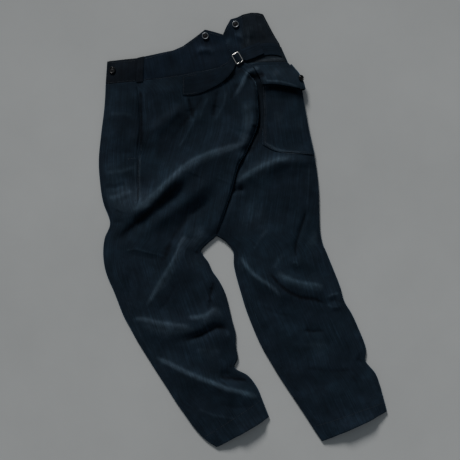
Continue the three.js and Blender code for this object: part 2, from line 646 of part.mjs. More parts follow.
// The strip that covers the side seam at the waist
function sideTab() {
  const rows = [TAB_FOOT_ROW, 0, ...bandRows.slice(1)];
  const grid = rows.map((v) => {
    const length = lineLength(left, v, backCentre);
    const start = spline(OUTSEAMS, Math.max(v, 0)) + TAB_START;
    return steps(start, start + TAB_WIDTH, 2).map((e) => topAt(left, v, e / length));
  });
  return piece("side_tab_left", wall(grid, () => TAB_LIFT + CLOTH, () => TAB_LIFT), cloth());
}

// Straps: each section is a line across, held at its own height above the waist
const level = (x, y, lift) => ({
  point: new THREE.Vector3(x, y, topHeight(x, y) + lift),
  normal: new THREE.Vector3(0, 0, 1),
});
const acrossStrap = ({ upper, lower, upperLift, lowerLift }) =>
  steps(0, 1, 3).map((f) => level(...mixPoint(upper, lower, f), mix(upperLift, lowerLift, f)));
const halved = (sections) =>
  sections.flatMap((row, k) => {
    if (k + 1 === sections.length) return [row];
    const next = sections[k + 1];
    const middle = {
      upper: mixPoint(row.upper, next.upper, 0.5),
      lower: mixPoint(row.lower, next.lower, 0.5),
      upperLift: mix(row.upperLift, next.upperLift, 0.5),
      lowerLift: mix(row.lowerLift, next.lowerLift, 0.5),
    };
    return [row, middle];
  });
const strap = (name, grid) => piece(name, wall(grid, () => CLOTH, () => 0), cloth());

const buckleTurn = THREE.MathUtils.degToRad(BUCKLE.turn);
const inBuckle = (u, w) => [
  BUCKLE.at[0] + u * Math.cos(buckleTurn) - w * Math.sin(buckleTurn),
  BUCKLE.at[1] + u * Math.sin(buckleTurn) + w * Math.cos(buckleTurn),
];
const waistAtBuckle = topHeight(...BUCKLE.at);

// The long strap rises through the frame, over the middle bar and down again
function throughBuckle() {
  const low = BUCKLE_HEIGHT - PATCH_GAP - CLOTH;
  const high = BUCKLE_HEIGHT + BUCKLE.wire + PATCH_GAP;
  const inside = BUCKLE.width / 2 - BUCKLE.wire;
  const outside = BUCKLE.width / 2 + STRAP_PAST_FRAME;
  const overBar = BUCKLE.wire / 2 + STRAP_PAST_BAR;
  const passes = [
    { u: -outside, lift: low }, { u: -inside, lift: low }, { u: -overBar, lift: high },
    { u: overBar, lift: high }, { u: inside, lift: low }, { u: outside, lift: low },
  ];
  return passes.map(({ u, lift }) =>
    steps(STRAP_NARROW / 2, -STRAP_NARROW / 2, 3).map((w) => ({
      point: new THREE.Vector3(...inBuckle(u, w), waistAtBuckle + lift),
      normal: new THREE.Vector3(0, 0, 1),
    })),
  );
}
function longStrap() {
  const sewn = halved(STRAP_SECTIONS).map(acrossStrap);
  const tail = halved(TAIL_SECTIONS).map(acrossStrap);
  const grid = [...sewn, ...throughBuckle(), ...tail];
  return strap("cinch_strap_left", grid);
}
function shortStrap() {
  const lifts = { upperLift: STRAP_LIFT, lowerLift: STRAP_LIFT };
  const sections = SHORT_STRAP_SECTIONS.map((row) => ({ ...row, ...lifts }));
  return strap("cinch_strap_right", halved(sections).map(acrossStrap));
}

function roundedRectangle(width, height, corner) {
  const points = [];
  for (const quarter of [0, 1, 2, 3]) {
    const [sx, sy] = [[1, 1], [-1, 1], [-1, -1], [1, -1]][quarter];
    for (const part of [0, 1, 2, 3]) {
      const angle = (quarter + part / 3) * (Math.PI / 2);
      const x = sx * (width / 2 - corner) + corner * Math.cos(angle);
      const y = sy * (height / 2 - corner) + corner * Math.sin(angle);
      points.push(new THREE.Vector2(x, y));
    }
  }
  return points;
}
function buckle() {
  const frame = new THREE.Shape(roundedRectangle(BUCKLE.width, BUCKLE.length, BUCKLE.corner));
  const [innerX, innerY] = [BUCKLE.width / 2 - BUCKLE.wire, BUCKLE.length / 2 - BUCKLE.wire];
  const bar = BUCKLE.wire / 2;
  for (const [from, to] of [[-innerX, -bar], [bar, innerX]]) {
    // each opening is a little shorter beside the bar
    const near = innerY - BUCKLE.barShorter;
    const [yFrom, yTo] = from < -bar ? [innerY, near] : [near, innerY];
    const corners = [[from, -yFrom], [from, yFrom], [to, yTo], [to, -yTo]];
    frame.holes.push(new THREE.Path(corners.map(([x, y]) => new THREE.Vector2(x, y))));
  }
  const geometry = new THREE.ExtrudeGeometry(frame, { depth: BUCKLE.wire, bevelEnabled: false });
  const mesh = piece("buckle", geometry, metal());
  mesh.rotation.z = buckleTurn;
  mesh.position.set(...BUCKLE.at, waistAtBuckle + BUCKLE_HEIGHT);
  return mesh;
}

// A round button with a raised rim, on a short stem, facing away from the cloth
function button(name, size, place, lift) {
  const { radius, rim, thick, hollow } = size;
  const { stem, chamfer, foot, lip, slope, dish } = BUTTON_SHAPE;
  const profile = [
    [0, 0], [hollow, 0], [hollow, stem], [radius - foot, stem], [radius, stem + chamfer],
    [radius, thick - chamfer], [radius - lip, thick], [radius - rim, thick], [hollow, thick - slope],
    [hollow / 2, thick - dish], [0, thick - dish],
  ];
  const geometry = new THREE.LatheGeometry(profile.map(([x, y]) => new THREE.Vector2(x, y)), BUTTON_SIDES);
  const mesh = piece(name, geometry, buttonMetal());
  mesh.quaternion.setFromUnitVectors(new THREE.Vector3(0, 1, 0), place.normal);
  mesh.position.copy(place.point).addScaledVector(place.normal, lift);
  return mesh;
}

const root = new THREE.Group();
root.add(panel("front_left_panel", frontLeftRow));
root.add(panel("front_right_panel", frontRightRow));
root.add(panel("back_left_panel", backLeftRow));
root.add(panel("back_right_panel", backRightRow));
root.add(waistband("waistband_front_left", frontLeftRow));
root.add(waistband("waistband_front_right", frontRightRow));
root.add(waistband("waistband_back_left", backLeftRow));
root.add(waistband("waistband_back_right", backRightRow));
root.add(patch("back_pocket", POCKET_LAST_ROW, POCKET_OUTLINE, () => PATCH_GAP));
root.add(patch("back_pocket_flap", FLAP_LAST_ROW, FLAP_OUTLINE, flapLift));
root.add(sideTab());
root.add(longStrap());
root.add(shortStrap());
root.add(buckle());
root.add(button("brace_button_back_left", BRACE_BUTTON, onTop(...BACK_LEFT_BUTTON), BUTTON_GAP));
root.add(button("brace_button_back_right", BRACE_BUTTON, onTop(...BACK_RIGHT_BUTTON), BUTTON_GAP));
root.add(button("brace_button_front_left", BRACE_BUTTON, onTop(...FRONT_LEFT_BUTTON), BUTTON_GAP));
const flapPlace = nearSide(right, FLAP_BUTTON_ROW, FLAP_BUTTON_FROM_EDGE);
root.add(button("flap_button", FLAP_BUTTON, flapPlace, flapLift(FLAP_BUTTON_ROW, flapPlace) + CLOTH));

export default root;
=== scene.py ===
"""Corduroy trousers with a fishtail back, laid flat with the back up.

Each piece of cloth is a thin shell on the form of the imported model's own solid.
"""

import math

import bmesh
import bpy
import numpy as np
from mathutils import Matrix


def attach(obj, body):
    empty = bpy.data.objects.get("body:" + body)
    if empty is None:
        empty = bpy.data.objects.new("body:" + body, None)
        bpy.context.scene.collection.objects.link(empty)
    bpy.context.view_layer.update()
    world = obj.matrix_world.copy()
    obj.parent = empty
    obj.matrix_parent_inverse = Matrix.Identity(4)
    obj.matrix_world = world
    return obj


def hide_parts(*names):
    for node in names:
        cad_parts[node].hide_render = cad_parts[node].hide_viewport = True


bl_info = {
    "name": "Fishtail corduroy trousers",
    "version": (1, 0, 0),
    "blender": (4, 5, 0),
    "location": "View3D > Sidebar > Trousers",
    "description": "Builds laid-out corduroy trousers piece by piece",
    "category": "Add Mesh",
}

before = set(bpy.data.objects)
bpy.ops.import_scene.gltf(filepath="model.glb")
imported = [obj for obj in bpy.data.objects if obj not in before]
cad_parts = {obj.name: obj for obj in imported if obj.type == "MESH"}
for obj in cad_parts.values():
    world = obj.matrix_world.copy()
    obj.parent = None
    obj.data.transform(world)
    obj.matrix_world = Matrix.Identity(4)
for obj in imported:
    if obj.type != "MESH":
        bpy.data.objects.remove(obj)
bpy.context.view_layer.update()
BODY = "root"
MM = 0.001

# Sizes in millimetres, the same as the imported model's, but the seams' gaps are narrower
CLOTH = 1.8
BAND = 3.0
HEM = 2.8
HEM_DEPTH = 38
ROW_SPACING = 33
SEAM_GAP = 0.1
# The folded edges of the flat legs, and how the upper layer rises inside them
FOLD_RADIUS = 4
ROUND = FOLD_RADIUS * math.pi / 2
PUFF = 8
PUFF_REACH = 26
FOLD_START = 20
# How high the pocket and the flap lift the right edge that they pass under, and how far under they reach
POCKET_STACK = 2.4
FLAP_STACK = 4.8
POCKET_UNDER = 66
# Rows, counted from the waist seam: the fork of the legs, the hem and its stitching, and how they blend
FORK_ROW = 8
FORK_TURN = 0.7
FORK_BLEND = 1.2
LAST_ROW = 24
HEM_ROW = LAST_ROW - HEM_DEPTH / ROW_SPACING
HEM_EASE = 0.4
# The inside leg seams: beneath the left leg and on top of the right leg, in from the folded edge
LEFT_INSEAM_UNDER = 24
RIGHT_INSEAM_TOP = 15

# Rectangles of cloth that the pieces are cut from, in metres
LONG_STRAP_CUT = (0.23, 0.055)
SHORT_STRAP_CUT = (0.11, 0.035)

# Rows from the waist seam to the hem: x and y of the outer edge, side seam in from it, sag
LEFT_ROWS = [
    (-343, 363, 78, 9), (-344, 335, 84, 6), (-347, 296, 90, 3), (-354, 240, 98, 0), (-360, 175, 97, 0),
    (-357, 120, 94, 0), (-349, 69, 84, 0), (-332, 18, 66, 0), (-345, -20, 62, 0), (-349, -55, 57, 0),
    (-346, -89, 48, 0), (-338, -118, 38, 0), (-325, -147, 28, 0), (-312, -180, 20, 0), (-299, -213, 15, 0),
    (-281, -246, 13, 0), (-263, -279, 12, 0), (-241, -314, 12, 0), (-219, -349, 12, 0), (-193, -389, 12, 0),
    (-167, -430, 12, 0), (-145, -461, 12, 0), (-123, -492, 12, 0), (-95, -522, 12, 0), (-66, -542, 12, 0),
]
# The same on the right, where the side seam lies beneath
RIGHT_ROWS = [
    (112, 417, 112, 0), (138, 380, 120, 0), (150, 320, 130, 0), (162, 252, 110, 0), (177, 186, 85, 0),
    (184, 148, 64, 0), (189, 96, 52, 0), (190, 50, 46, 0), (192, 0, 42, 0), (199, -34, 38, 0),
    (208, -55, 36, 0), (219, -82, 34, 0), (232, -114, 32, 0), (243, -143, 31, 0), (253, -178, 30, 0),
    (272, -210, 29, 0), (290, -250, 28, 0), (303, -282, 27, 0), (307, -303, 26, 0), (306, -327, 26, 0),
    (330, -357, 25, 0), (341, -385, 25, 0), (348, -410, 25, 0), (354, -432, 25, 0), (359, -452, 25, 0),
]
BACK_SEAM = [
    (-20, 414), (28, 372), (37, 320), (36, 262), (10, 199), (-12, 160), (-28, 100), (-46, 45), (-66, -15),
]
FRONT_SEAM = [
    (-184, 382), (-176, 345), (-168, 298), (-160, 245), (-150, 190), (-137, 138), (-120, 85), (-97, 32),
    (-66, -15),
]
LEFT_INNER = [
    (-66, -15), (-101, -47), (-101, -60), (-86, -81), (-76, -103), (-60, -126), (-46, -153), (-37, -183),
    (-28, -222), (-19, -256), (-18, -288), (-13, -320), (-20, -344), (12, -363), (35, -392), (50, -428),
    (65, -466),
]
RIGHT_INNER = [
    (-66, -15), (-43, -30), (-25, -54), (-23, -88), (-16, -120), (-6, -155), (6, -195), (20, -232),
    (35, -268), (51, -300), (67, -327), (88, -362), (111, -397), (133, -430), (155, -463), (176, -496),
    (197, -527),
]
WAIST_LEFT = (-339, 420)
WAIST_FRONT_SEAM = (-190, 434)
WAIST_BACK_NOTCH = (-50, 487)
WAIST_RIGHT = (95, 457)
# Share of the way along the waist, and how far the upper edge rises above a straight line
LEFT_TAIL = [
    (0, 0), (0.26, -10), (0.57, -11), (0.655, -6), (0.725, 4), (0.79, 14), (0.845, 23), (0.915, 13), (1, 0),
]
RIGHT_TAIL = [
    (0, 0), (0.055, 20), (0.13, 42), (0.24, 50), (0.34, 60), (0.48, 69), (0.6, 72), (0.69, 71), (0.86, 29),
    (1, 0),
]

# Large folds: height, spread on the waist side, spread on the hem side, crest line
FOLDS = [
    (7, 40, 42, [(14, 220), (-45, 196), (-103, 174), (-147, 148), (-197, 104)]),
    (12, 36, 20, [(-141, 144), (-193, 98), (-228, 60), (-282, 36)]),
    (-6, 12, 18, [(-150, 104), (-203, 58), (-262, 10), (-308, -24)]),
    (8, 26, 20, [(-75, 130), (-115, 97), (-160, 60), (-250, 0)]),
    (-5, 14, 18, [(-80, 75), (-130, 40), (-165, -5)]),
    (3, 30, 28, [(-152, 4), (-120, -8), (-90, -16)]),
    (5, 18, 50, [(-150, -15), (-165, -45), (-200, -120), (-250, -195)]),
    (-1.5, 12, 12, [(-295, -50), (-230, -64), (-200, -68)]),
    (8, 30, 46, [(-275, -224), (-200, -236), (-150, -241), (-110, -236), (-60, -199)]),
    (-5, 12, 14, [(-155, -273), (-105, -262), (-68, -242), (-33, -246)]),
    (9, 26, 32, [(-205, -322), (-150, -351), (-75, -382), (0, -406)]),
    (-6, 14, 12, [(-60, -362), (-30, -364), (5, -366)]),
    (8, 26, 46, [(-14, 112), (33, 142), (86, 169), (152, 166)]),
    (-4, 22, 30, [(10, 105), (45, 125), (125, 152)]),
    (-2, 9, 9, [(154, 32), (140, -8), (130, -50), (132, -72)]),
    (3, 14, 14, [(132, -80), (116, -86)]),
    (6, 22, 26, [(-5, -75), (25, -112), (80, -145), (120, -175)]),
    (5, 20, 32, [(98, -122), (150, -138), (200, -142)]),
    (3, 14, 14, [(212, -163), (235, -160), (240, -186), (222, -188)]),
    (-1.5, 14, 9, [(150, -248), (197, -250)]),
    (-8, 10, 4, [(34, 350), (37, 300), (36, 255), (12, 203), (-4, 186)]),
    (6, 20, 20, [(12, 320), (12, 270), (0, 240)]),
    (-4, 9, 9, [(-28, 100), (4, 100)]),
    (5, 12, 14, [(-150, 305), (-190, 275), (-230, 240)]),
    (-3, 9, 9, [(-135, 300), (-128, 270)]),
    (-3, 9, 9, [(-66, 310), (-72, 280)]),
    (7, 20, 20, [(-20, -510), (60, -478)]),
    (7, 20, 20, [(240, -505), (335, -466)]),
    (3, 12, 12, [(-112, 452), (-78, 446)]),
    (3, 16, 16, [(12, 478), (14, 505)]),
]

# Creases and the sharp crests of the larger folds: height, spread, line
CREASES = [
    (6, 14, [(28, 230), (0, 214), (-40, 201), (-75, 191), (-105, 179), (-125, 169), (-150, 152), (-173, 129),
             (-198, 106), (-216, 87), (-239, 66), (-265, 53), (-290, 46)]),
    (-3, 11, [(-140, 125), (-165, 105), (-190, 85), (-215, 62), (-240, 40), (-265, 20), (-290, 0),
              (-312, -14)]),
    (-2, 9, [(-80, 76), (-106, 58), (-132, 38), (-152, 12), (-172, -12), (-187, -48), (-198, -85)]),
    (4, 9, [(-140, -8), (-149, -24), (-158, -42), (-174, -76), (-196, -115), (-220, -156), (-250, -205)]),
    (4.5, 10, [(-276, -219), (-240, -222), (-205, -231), (-165, -237), (-124, -239)]),
    (4, 9, [(-142, -217), (-115, -216), (-95, -214), (-79, -204), (-60, -192)]),
    (-5, 6, [(-158, -274), (-130, -270), (-105, -262), (-84, -251), (-67, -242), (-46, -243), (-31, -247)]),
    (5, 10, [(-226, -314), (-206, -321), (-180, -331), (-150, -347), (-112, -364), (-75, -378), (-42, -392),
             (-4, -402), (28, -412), (46, -418)]),
    (-3.5, 8, [(-66, -362), (-36, -369), (-8, -372), (14, -372)]),
    (4, 12, [(-22, 114), (0, 130), (19, 141), (38, 152), (61, 163), (90, 174), (128, 182)]),
    (3.5, 8, [(-10, -58), (2, -80), (16, -98), (26, -110), (42, -122), (60, -133), (80, -149), (102, -176)]),
    (-3.5, 4, [(62, -98), (75, -117), (92, -136), (114, -153), (143, -167), (180, -172), (196, -179),
               (214, -184)]),
    (2, 9, [(88, -108), (107, -118), (140, -130), (180, -135), (204, -142)]),
    (-4, 5, [(148, -248), (175, -252), (204, -249)]),
    (-4.5, 3, [(158, 58), (154, 37), (147, 14), (140, -6), (132, -32), (129, -56), (132, -76)]),
    (1.6, 6, [(118, -82), (130, -79), (138, -86), (126, -94)]),
    (2.5, 6, [(206, -168), (222, -160), (242, -157), (254, -168)]),
    (2, 6, [(206, -184), (222, -191), (240, -190)]),
    (-1.6, 5, [(210, -177), (228, -174), (248, -178)]),
    (-1.5, 6, [(254, -190), (236, -200), (214, -202)]),
    (1.5, 4, [(166, 178), (163, 120), (160, 62), (156, 28)]),
    (-5, 7, [(10, 382), (20, 379), (32, 377), (46, 382), (56, 386)]),
    (4, 6, [(48, 403), (27, 399), (10, 391), (4, 377), (-3, 360), (-15, 345), (-26, 326)]),
    (-3, 6, [(-14, 366), (-20, 345), (-34, 322)]),
    (-3, 6, [(-136, 332), (-130, 303), (-121, 272)]),
    (2, 4, [(-144, 335), (-138, 308), (-128, 268)]),
    (3, 7, [(-112, 300), (-126, 264), (-146, 224), (-166, 200)]),
    (-3, 6, [(-63, 350), (-69, 315), (-76, 276)]),
    (2.5, 8, [(-84, 336), (-100, 300), (-112, 262)]),
    (-2.2, 8, [(-100, 336), (-112, 310), (-150, 262), (-185, 215)]),
    (2.4, 12, [(-160, 300), (-195, 255), (-245, 205)]),
    (2, 9, [(-40, 350), (-48, 310), (-80, 255)]),
    (-3, 5, [(-30, 100), (-14, 99), (6, 101)]),
    (-5, 5, [(-120, -54), (-103, -53), (-92, -58)]),
    (-1, 6, [(-290, -60), (-262, -63), (-230, -70), (-200, -72)]),
    (1.8, 5, [(-300, -54), (-284, -49), (-266, -47), (-229, -57), (-204, -63), (-186, -66)]),
    (-4, 3.5, [(-78, -140), (-81, -155), (-85, -172)]),
    (-2.5, 6, [(-84, -172), (-82, -186), (-90, -197)]),
    (-5, 4, [(-34, -342), (-24, -335), (-13, -329)]),
    (-3, 8, [(280, -318), (296, -326), (306, -328)]),
    (0.8, 9, [(-120, -300), (-90, -296), (-50, -304)]),
    (1.4, 9, [(62, 4), (40, -25), (24, -52)]),
    (-1.8, 9, [(40, -185), (80, -205), (130, -214)]),
    (0.8, 12, [(95, -275), (150, -285), (215, -284)]),
    (-2, 12, [(150, -340), (210, -350), (290, -346)]),
    (-2, 8, [(-290, 20), (-318, 22), (-332, 17)]),
    (-2, 8, [(-292, 118), (-318, 108), (-345, 110)]),
    (2.2, 9, [(-272, 96), (-305, 84), (-338, 80)]),
    (1.6, 9, [(-262, 158), (-300, 146), (-345, 142)]),
    (-1.5, 8, [(-262, 196), (-300, 192), (-348, 200)]),
    (-1.6, 7, [(-160, -120), (-190, -180), (-230, -215)]),
    (0.8, 7, [(-262, -80), (-262, -130), (-270, -180)]),
    (-1.4, 7, [(-290, -100), (-282, -150), (-292, -190)]),
    (-1.6, 8, [(-60, -430), (-20, -440), (30, -436)]),
    (1.6, 9, [(-120, -440), (-70, -460), (-10, -470)]),
    (1.2, 5, [(-118, 440), (-108, 447), (-88, 451), (-73, 445)]),
    (-1.6, 6, [(-108, 470), (-92, 462), (-76, 466)]),
    (-0.8, 6, [(-120, 432), (-96, 438), (-70, 432)]),
    (2, 6, [(-24, 488), (-8, 484), (4, 474)]),
    (-1.8, 6, [(-16, 476), (4, 462), (10, 446)]),
    (1.6, 8, [(12, 500), (14, 480), (10, 458)]),
    (1.4, 9, [(40, 520), (46, 496), (58, 478)]),
]

# Patches of painted light and painted shade: strength, reach, x, y
PAINTED_LIGHT_PATCHES = [
    (0.6, 42, -300, 76), (0.22, 60, -318, 150), (0.35, 55, 30, 42), (-0.35, 75, -150, 285),
    (-0.3, 40, 70, 100), (-0.25, 60, -230, 230), (0.7, 27, -114, -15), (0.3, 40, -118, -72),
    (0.35, 38, 48, 142), (0.3, 30, 130, 165), (0.5, 16, 180, -12), (0.35, 18, 168, -34),
    (-0.4, 28, -182, -62), (0.3, 26, -238, 78), (0.25, 30, -190, -252), (0.4, 18, 86, 282),
    (0.3, 16, 142, 262), (0.4, 12, 80, 386), (0.6, 10, -104, 450), (0.6, 10, -80, 447),
    (0.3, 35, 190, -290), (0.35, 32, -85, -305), (0.5, 16, -66, -205), (0.4, 16, -92, -222),
    (0.4, 8, -38, -258), (0.45, 9, -8, 490), (0.5, 8, -38, 470), (-0.25, 45, -300, 238),
]
# Lines of painted highlight along crests and edges, and of painted shade in hollows and cast shadows:
# strength, width, line
PAINTED_LIGHT_LINES = [
    (-0.35, 12, [(-150, -318), (-95, -340), (-27, -362), (30, -378)]),
    (0.3, 3, [(-294, -150), (-282, -205), (-252, -268), (-222, -320)]),
    (0.8, 3.5, [(40, 401), (34, 400), (27, 399), (12, 390), (3, 372), (-6, 352), (-14, 335)]),
    (-1, 6, [(12, 377), (24, 383), (38, 383), (54, 386)]),
    (-1.2, 9, [(42, 384), (44, 340), (45, 290), (43, 255), (25, 211), (5, 181)]),
    (0.55, 15, [(6, 320), (12, 285), (12, 250), (0, 205)]),
    (0.35, 8, [(-14, 210), (-60, 190), (-112, 166), (-150, 142)]),
    (0.4, 12, [(-268, -234), (-200, -246), (-150, -251), (-110, -246)]),
    (0.8, 3, [(4, 410), (38, 418), (68, 424), (108, 427)]),
    (0.7, 2.6, [(50, 369), (68, 367), (90, 366), (120, 359), (144, 350)]),
    (0.5, 3, [(52, 392), (53, 380), (54, 368)]),
    (0.4, 8, [(-338, 288), (-300, 290), (-270, 284)]),
    (0.35, 8, [(105, -58), (86, -74), (75, -98)]),
    (0.5, 11, [(78, -100), (99, -117), (140, -135), (180, -141), (206, -149)]),
    (-0.7, 4, [(66, -106), (78, -121), (94, -140), (116, -156), (144, -169), (180, -174), (198, -181)]),
    (-1, 2.5, [(-74, -126), (-77, -145), (-81, -165), (-85, -182)]),
    (0.4, 9, [(-134, -20), (-148, -44), (-166, -82), (-186, -120), (-215, -160)]),
    (-0.4, 10, [(-176, -30), (-196, -66), (-215, -104)]),
    (-0.9, 6, [(8, 384), (22, 378), (38, 378)]),
    (-0.8, 9, [(-52, 366), (-34, 376), (-14, 390), (4, 404)]),
    (-1, 8, [(56, 352), (84, 350), (112, 346), (142, 338)]),
    (-0.35, 8, [(-150, 96), (-193, 74), (-231, 40), (-258, 20), (-290, -8), (-314, -26)]),
    (-0.25, 12, [(-84, 66), (-104, 53), (-133, 26), (-158, 4), (-176, -30)]),
    (0.7, 3, [(-266, 178), (-266, 150), (-265, 110), (-264, 56)]),
    (0.7, 3, [(-256, 190), (-257, 150), (-257, 110), (-256, 50)]),
    (-0.8, 4, [(-261, 186), (-262, 130), (-260, 60)]),
    (-0.9, 4, [(-255, 350), (-253, 320), (-252, 260), (-253, 200)]),
    (0.4, 4, [(-247, 350), (-245, 300), (-245, 240)]),
    (0.6, 3.5, [(50, 219), (70, 207), (91, 197), (113, 193), (150, 192)]),
    (-0.9, 3, [(-101, -58), (-114, -56), (-124, -54)]),
]

# The deep crease along the back seam, row by row: how far the left side stands up, how deep the crease is
BACK_CREASE = [(0, 0), (0, 3), (4, 9), (6, 10), (7, 10), (5, 8), (4, 7), (3, 5), (1, 1)]
DEEPEST = 10
CREASE_WIDTH = 8
LIP_WIDTH = 5
LIP_REACH = 20
OVERHANG = 3
OVERHANG_AT = 2.8
OVERHANG_WIDTH = 2.6
# Rows between which the crease grows and fades
SEAM_CREASE_START = (-0.05, 0.6)
SEAM_CREASE_END = (FORK_ROW + 0.4, FORK_ROW - 0.6)
# Least height of the upper layer's outside over the underside
TWO_LAYERS = 4.2
# The slit of the side pocket, between two rows: its depth, its width, and how its back edge stands up
MOUTH_FROM = 0.5
MOUTH_TO = 3.75
MOUTH_EASE = (0.1, 0.3)
MOUTH_DEPTH = 2.6
MOUTH_WIDTH = 3.2
MOUTH_LIP = 0.7
MOUTH_LIP_WIDTH = 7

# How steeply the upper layer rises from its edges, and how flat it lies at the waist, eased between two y
EDGE_STEP = 0.2
PUFF_POWER = 1.2
WAIST_PUFF = 0.35
WAIST_CALM = (445, 380)
EDGE_EASE = (6, 10)
# The fishtail lies lower, the more so the further it reaches past the straight waist
TAIL_DROP = 3.6
TAIL_REACH = 28
# The waist side of a fold's crest is towards +Y, and a little towards +X
WAIST_LEAN = 0.4
# Shares of a line over which folds, creases, and the painted highlight and shade ease in and out
FOLD_ENDS = (0.2, 0.12)
CREASE_ENDS = 0.3
CREST_ENDS = 0.18
PAINTED_LINE_ENDS = 0.15
CREASE_BLUNT = 0.15
# Stretches of y where the pocket and the flap pass under the right edge, and how far in they lift the cloth
POCKET_PASS = (150, 172, 425, 450)
FLAP_PASS = (322, 344, 410, 432)
PASS_EASE = (8, 34)
# A soft unevenness: number of waves, their lengths, how much they bend, and length over height
WAVES = 26
WAVE_LENGTHS = (28, 95)
WAVE_BENDS = (0.3, 1.4)
WAVE_TURN = 60
WAVE_FLATNESS = 420
WAVE_SEED = 7
# The painted highlight on a crest, and painted shade in a hollow: crease height that paints it fully, most
# light, width from the crease's spread
HIGHLIGHT_FULL = 4.6
HIGHLIGHT_MOST = 1.1
HIGHLIGHT_WIDTH = (0.3, 2)
# The softer painted highlight round the higher crests, and how far in from the edges the painted light and
# shade fade in
HALO_FROM = 3
HALO = 0.28
HALO_WIDTH = 1.2
PAINTED_LIGHT_EDGE = (3, 14)
# Cloth that faces up this much shows the painted light and shade
FACING_UP = 0.3

# How deep a shell's edges are pulled in: along seams, along the leg seams, and at its ends
SEAM_TUCK = 0.4
LEG_SEAM_TUCK = 0.06
END_TUCK = 0.45
# Least share of its rectangle that a sheet is declared with, and the angle past which an edge stays sharp
SHARP_FROM = math.radians(55)

# Shares of red, green and blue on parts where the nap lies another way, partly painted light and shade:
# lighter and darker copies of the one cloth
TINTS = {
    "front band": (0.58, 0.48, 0.47), "back left band": (0.66, 0.7, 0.8), "back right band": (0.98, 0.8, 0.7),
    "strap": (0.62, 0.64, 0.68), "flap": (1.1, 1.08, 1.05),
}
# Finish of the cloth: noise per metre, across and along the grain, and the tones of the wales and of the
# painted highlight and shade
STREAK_GRAIN = (420, 9, 1)
FLUFF_GRAIN = (900, 500, 1)
BLOOM_GRAIN = 26
HUE_GRAIN = 10
CREST_GRAIN = 95
CREST_UNEVEN = (1.1, 0.45)
STREAK_SHARE = 0.52
WALE_SHAPE = 0.6
FLUFF_HEIGHT = 0.5
WALE_TONES = [(0.0, (0.55, 0.55, 0.55)), (1.0, (1.1, 1.1, 1.1))]
HUES = [(0.38, (1.03, 0.99, 1.0)), (0.62, (0.96, 1.01, 1.01))]
# Painted shade in hollows and shadows, up to painted highlight on crests
PAINTED_LIGHT_TONES = [
    (0.0, (0.3, 0.3, 0.32)), (0.42, (0.92, 0.92, 0.92)), (0.58, (1.1, 1.1, 1.08)), (1.0, (3.9, 3.3, 2.8)),
]
# The right end of the fishtail is greyer than its end at the back seam, past this place in metres
BLUE_END = (0.85, 0.85, 0.92)
GREY_FROM = -0.004
GREY_REACH = 0.014

# Sewing thread: its tones and the noise of its twist
THREAD_DARK = (0.014, 0.02, 0.029)
THREAD_LIGHT = (0.034, 0.044, 0.058)
TWIST_GRAIN = 900
# Wear of the metal: its noise, how dark it goes on bright and on dark metal, and how much rougher
WEAR_GRAIN = 700
BRIGHT_WEAR = 0.72
DARK_WEAR = 0.35
WEAR_ROUGHNESS = 0.25
FLOOR_MOTTLE = 2.2

# Outline of the pocket's left and lower edge: y, and the edge's x there
POCKET_LEFT = [(405, 47), (360, 50), (300, 49), (212, 48), (200, 68), (190, 90), (186, 112)]

# Long strap up to the buckle: upper x and y, lower x and y, and how far each edge stands off
STRAP_SECTIONS = [
    (-150, 382, -150, 335, 0.4, 0.4), (-133, 385, -133, 334, 0.4, 0.5), (-112, 389, -108, 339, 0.5, 1.2),
    (-86, 393, -84, 349, 0.9, 1.8), (-60, 400, -58, 363, 1.5, 3), (-42, 411, -36, 381, 2.2, 4.4),
    (-34, 422, -24, 397, 2.8, 5.2),
]
# Its free end past the buckle
TAIL_SECTIONS = [
    (-4, 448, 9, 420, 4, 4.2), (14, 456, 27, 426, 4, 5.4), (41, 467, 52, 438, 4, 6),
]
# Short strap that holds the buckle
SHORT_STRAP_SECTIONS = [
    (-11, 439, -2, 422, 1.1, 1.1), (2, 448, 14, 424, 1.1, 1.1), (30, 458, 40, 430, 1.1, 1.1),
    (52, 465, 62, 435, 1.1, 1.1), (74, 465, 82, 435, 1.1, 1.1), (88, 459, 96, 431, 1.1, 1.1),
]
# The buckle: its middle, its turn from +X, and the sizes of its frame
BUCKLE_AT = (-14, 426)
BUCKLE_TURN = math.radians(30)
BUCKLE_LENGTH = 28
BUCKLE_WIDTH = 20
BUCKLE_WIRE = 2.4
BUCKLE_HEIGHT = 6
BUCKLE_CORNER = 2.6
STRAP_SPACING = 2.6
STRAP_COLUMNS = 9
STRAP_NARROW = 22
# How the strap rises over the middle bar: clear of the bar and of the frame, and past the frame's ends
BAR_CLEAR = 0.6
FRAME_CLEAR = 0.4
PAST_FRAME = 2
BUCKLE_ROWS = 27
PATCH_GAP = 0.35
# The strip over the side seam: the row at its lower end, its height, and its place beside the seam
TAB_WIDTH = 17
TAB_HEIGHT = 72
TAB_END = 0.14
TAB_PAST_SEAM = 0.5
# The pocket's rows, and the sizes that its points come from
POCKET_ROWS = (0.45, 3.98)
POCKET_HEIGHT = 205
POCKET_WIDTH = 118
# The flap: its upper row, its height, how far up the panel it reaches, and how far its lower edge stands off
FLAP_ROW = 0.27
FLAP_HEIGHT = 44
FLAP_REACH = 96
FLAP_TILT = 7.5
FLAP_TILT_FROM = 0.1
# Its lower edge: surface length from the right edge, and the row there
FLAP_LOW_EDGE = [(-80, 1.6), (0, 1.58), (30, 1.44), (62, 1.32), (96, 1.26)]
# The flap's button: its row, its surface length from the right edge, and the flap's height in rows there
FLAP_BUTTON_ROW = 1.1
FLAP_BUTTON_IN = 4
FLAP_ROWS_THERE = 1.22


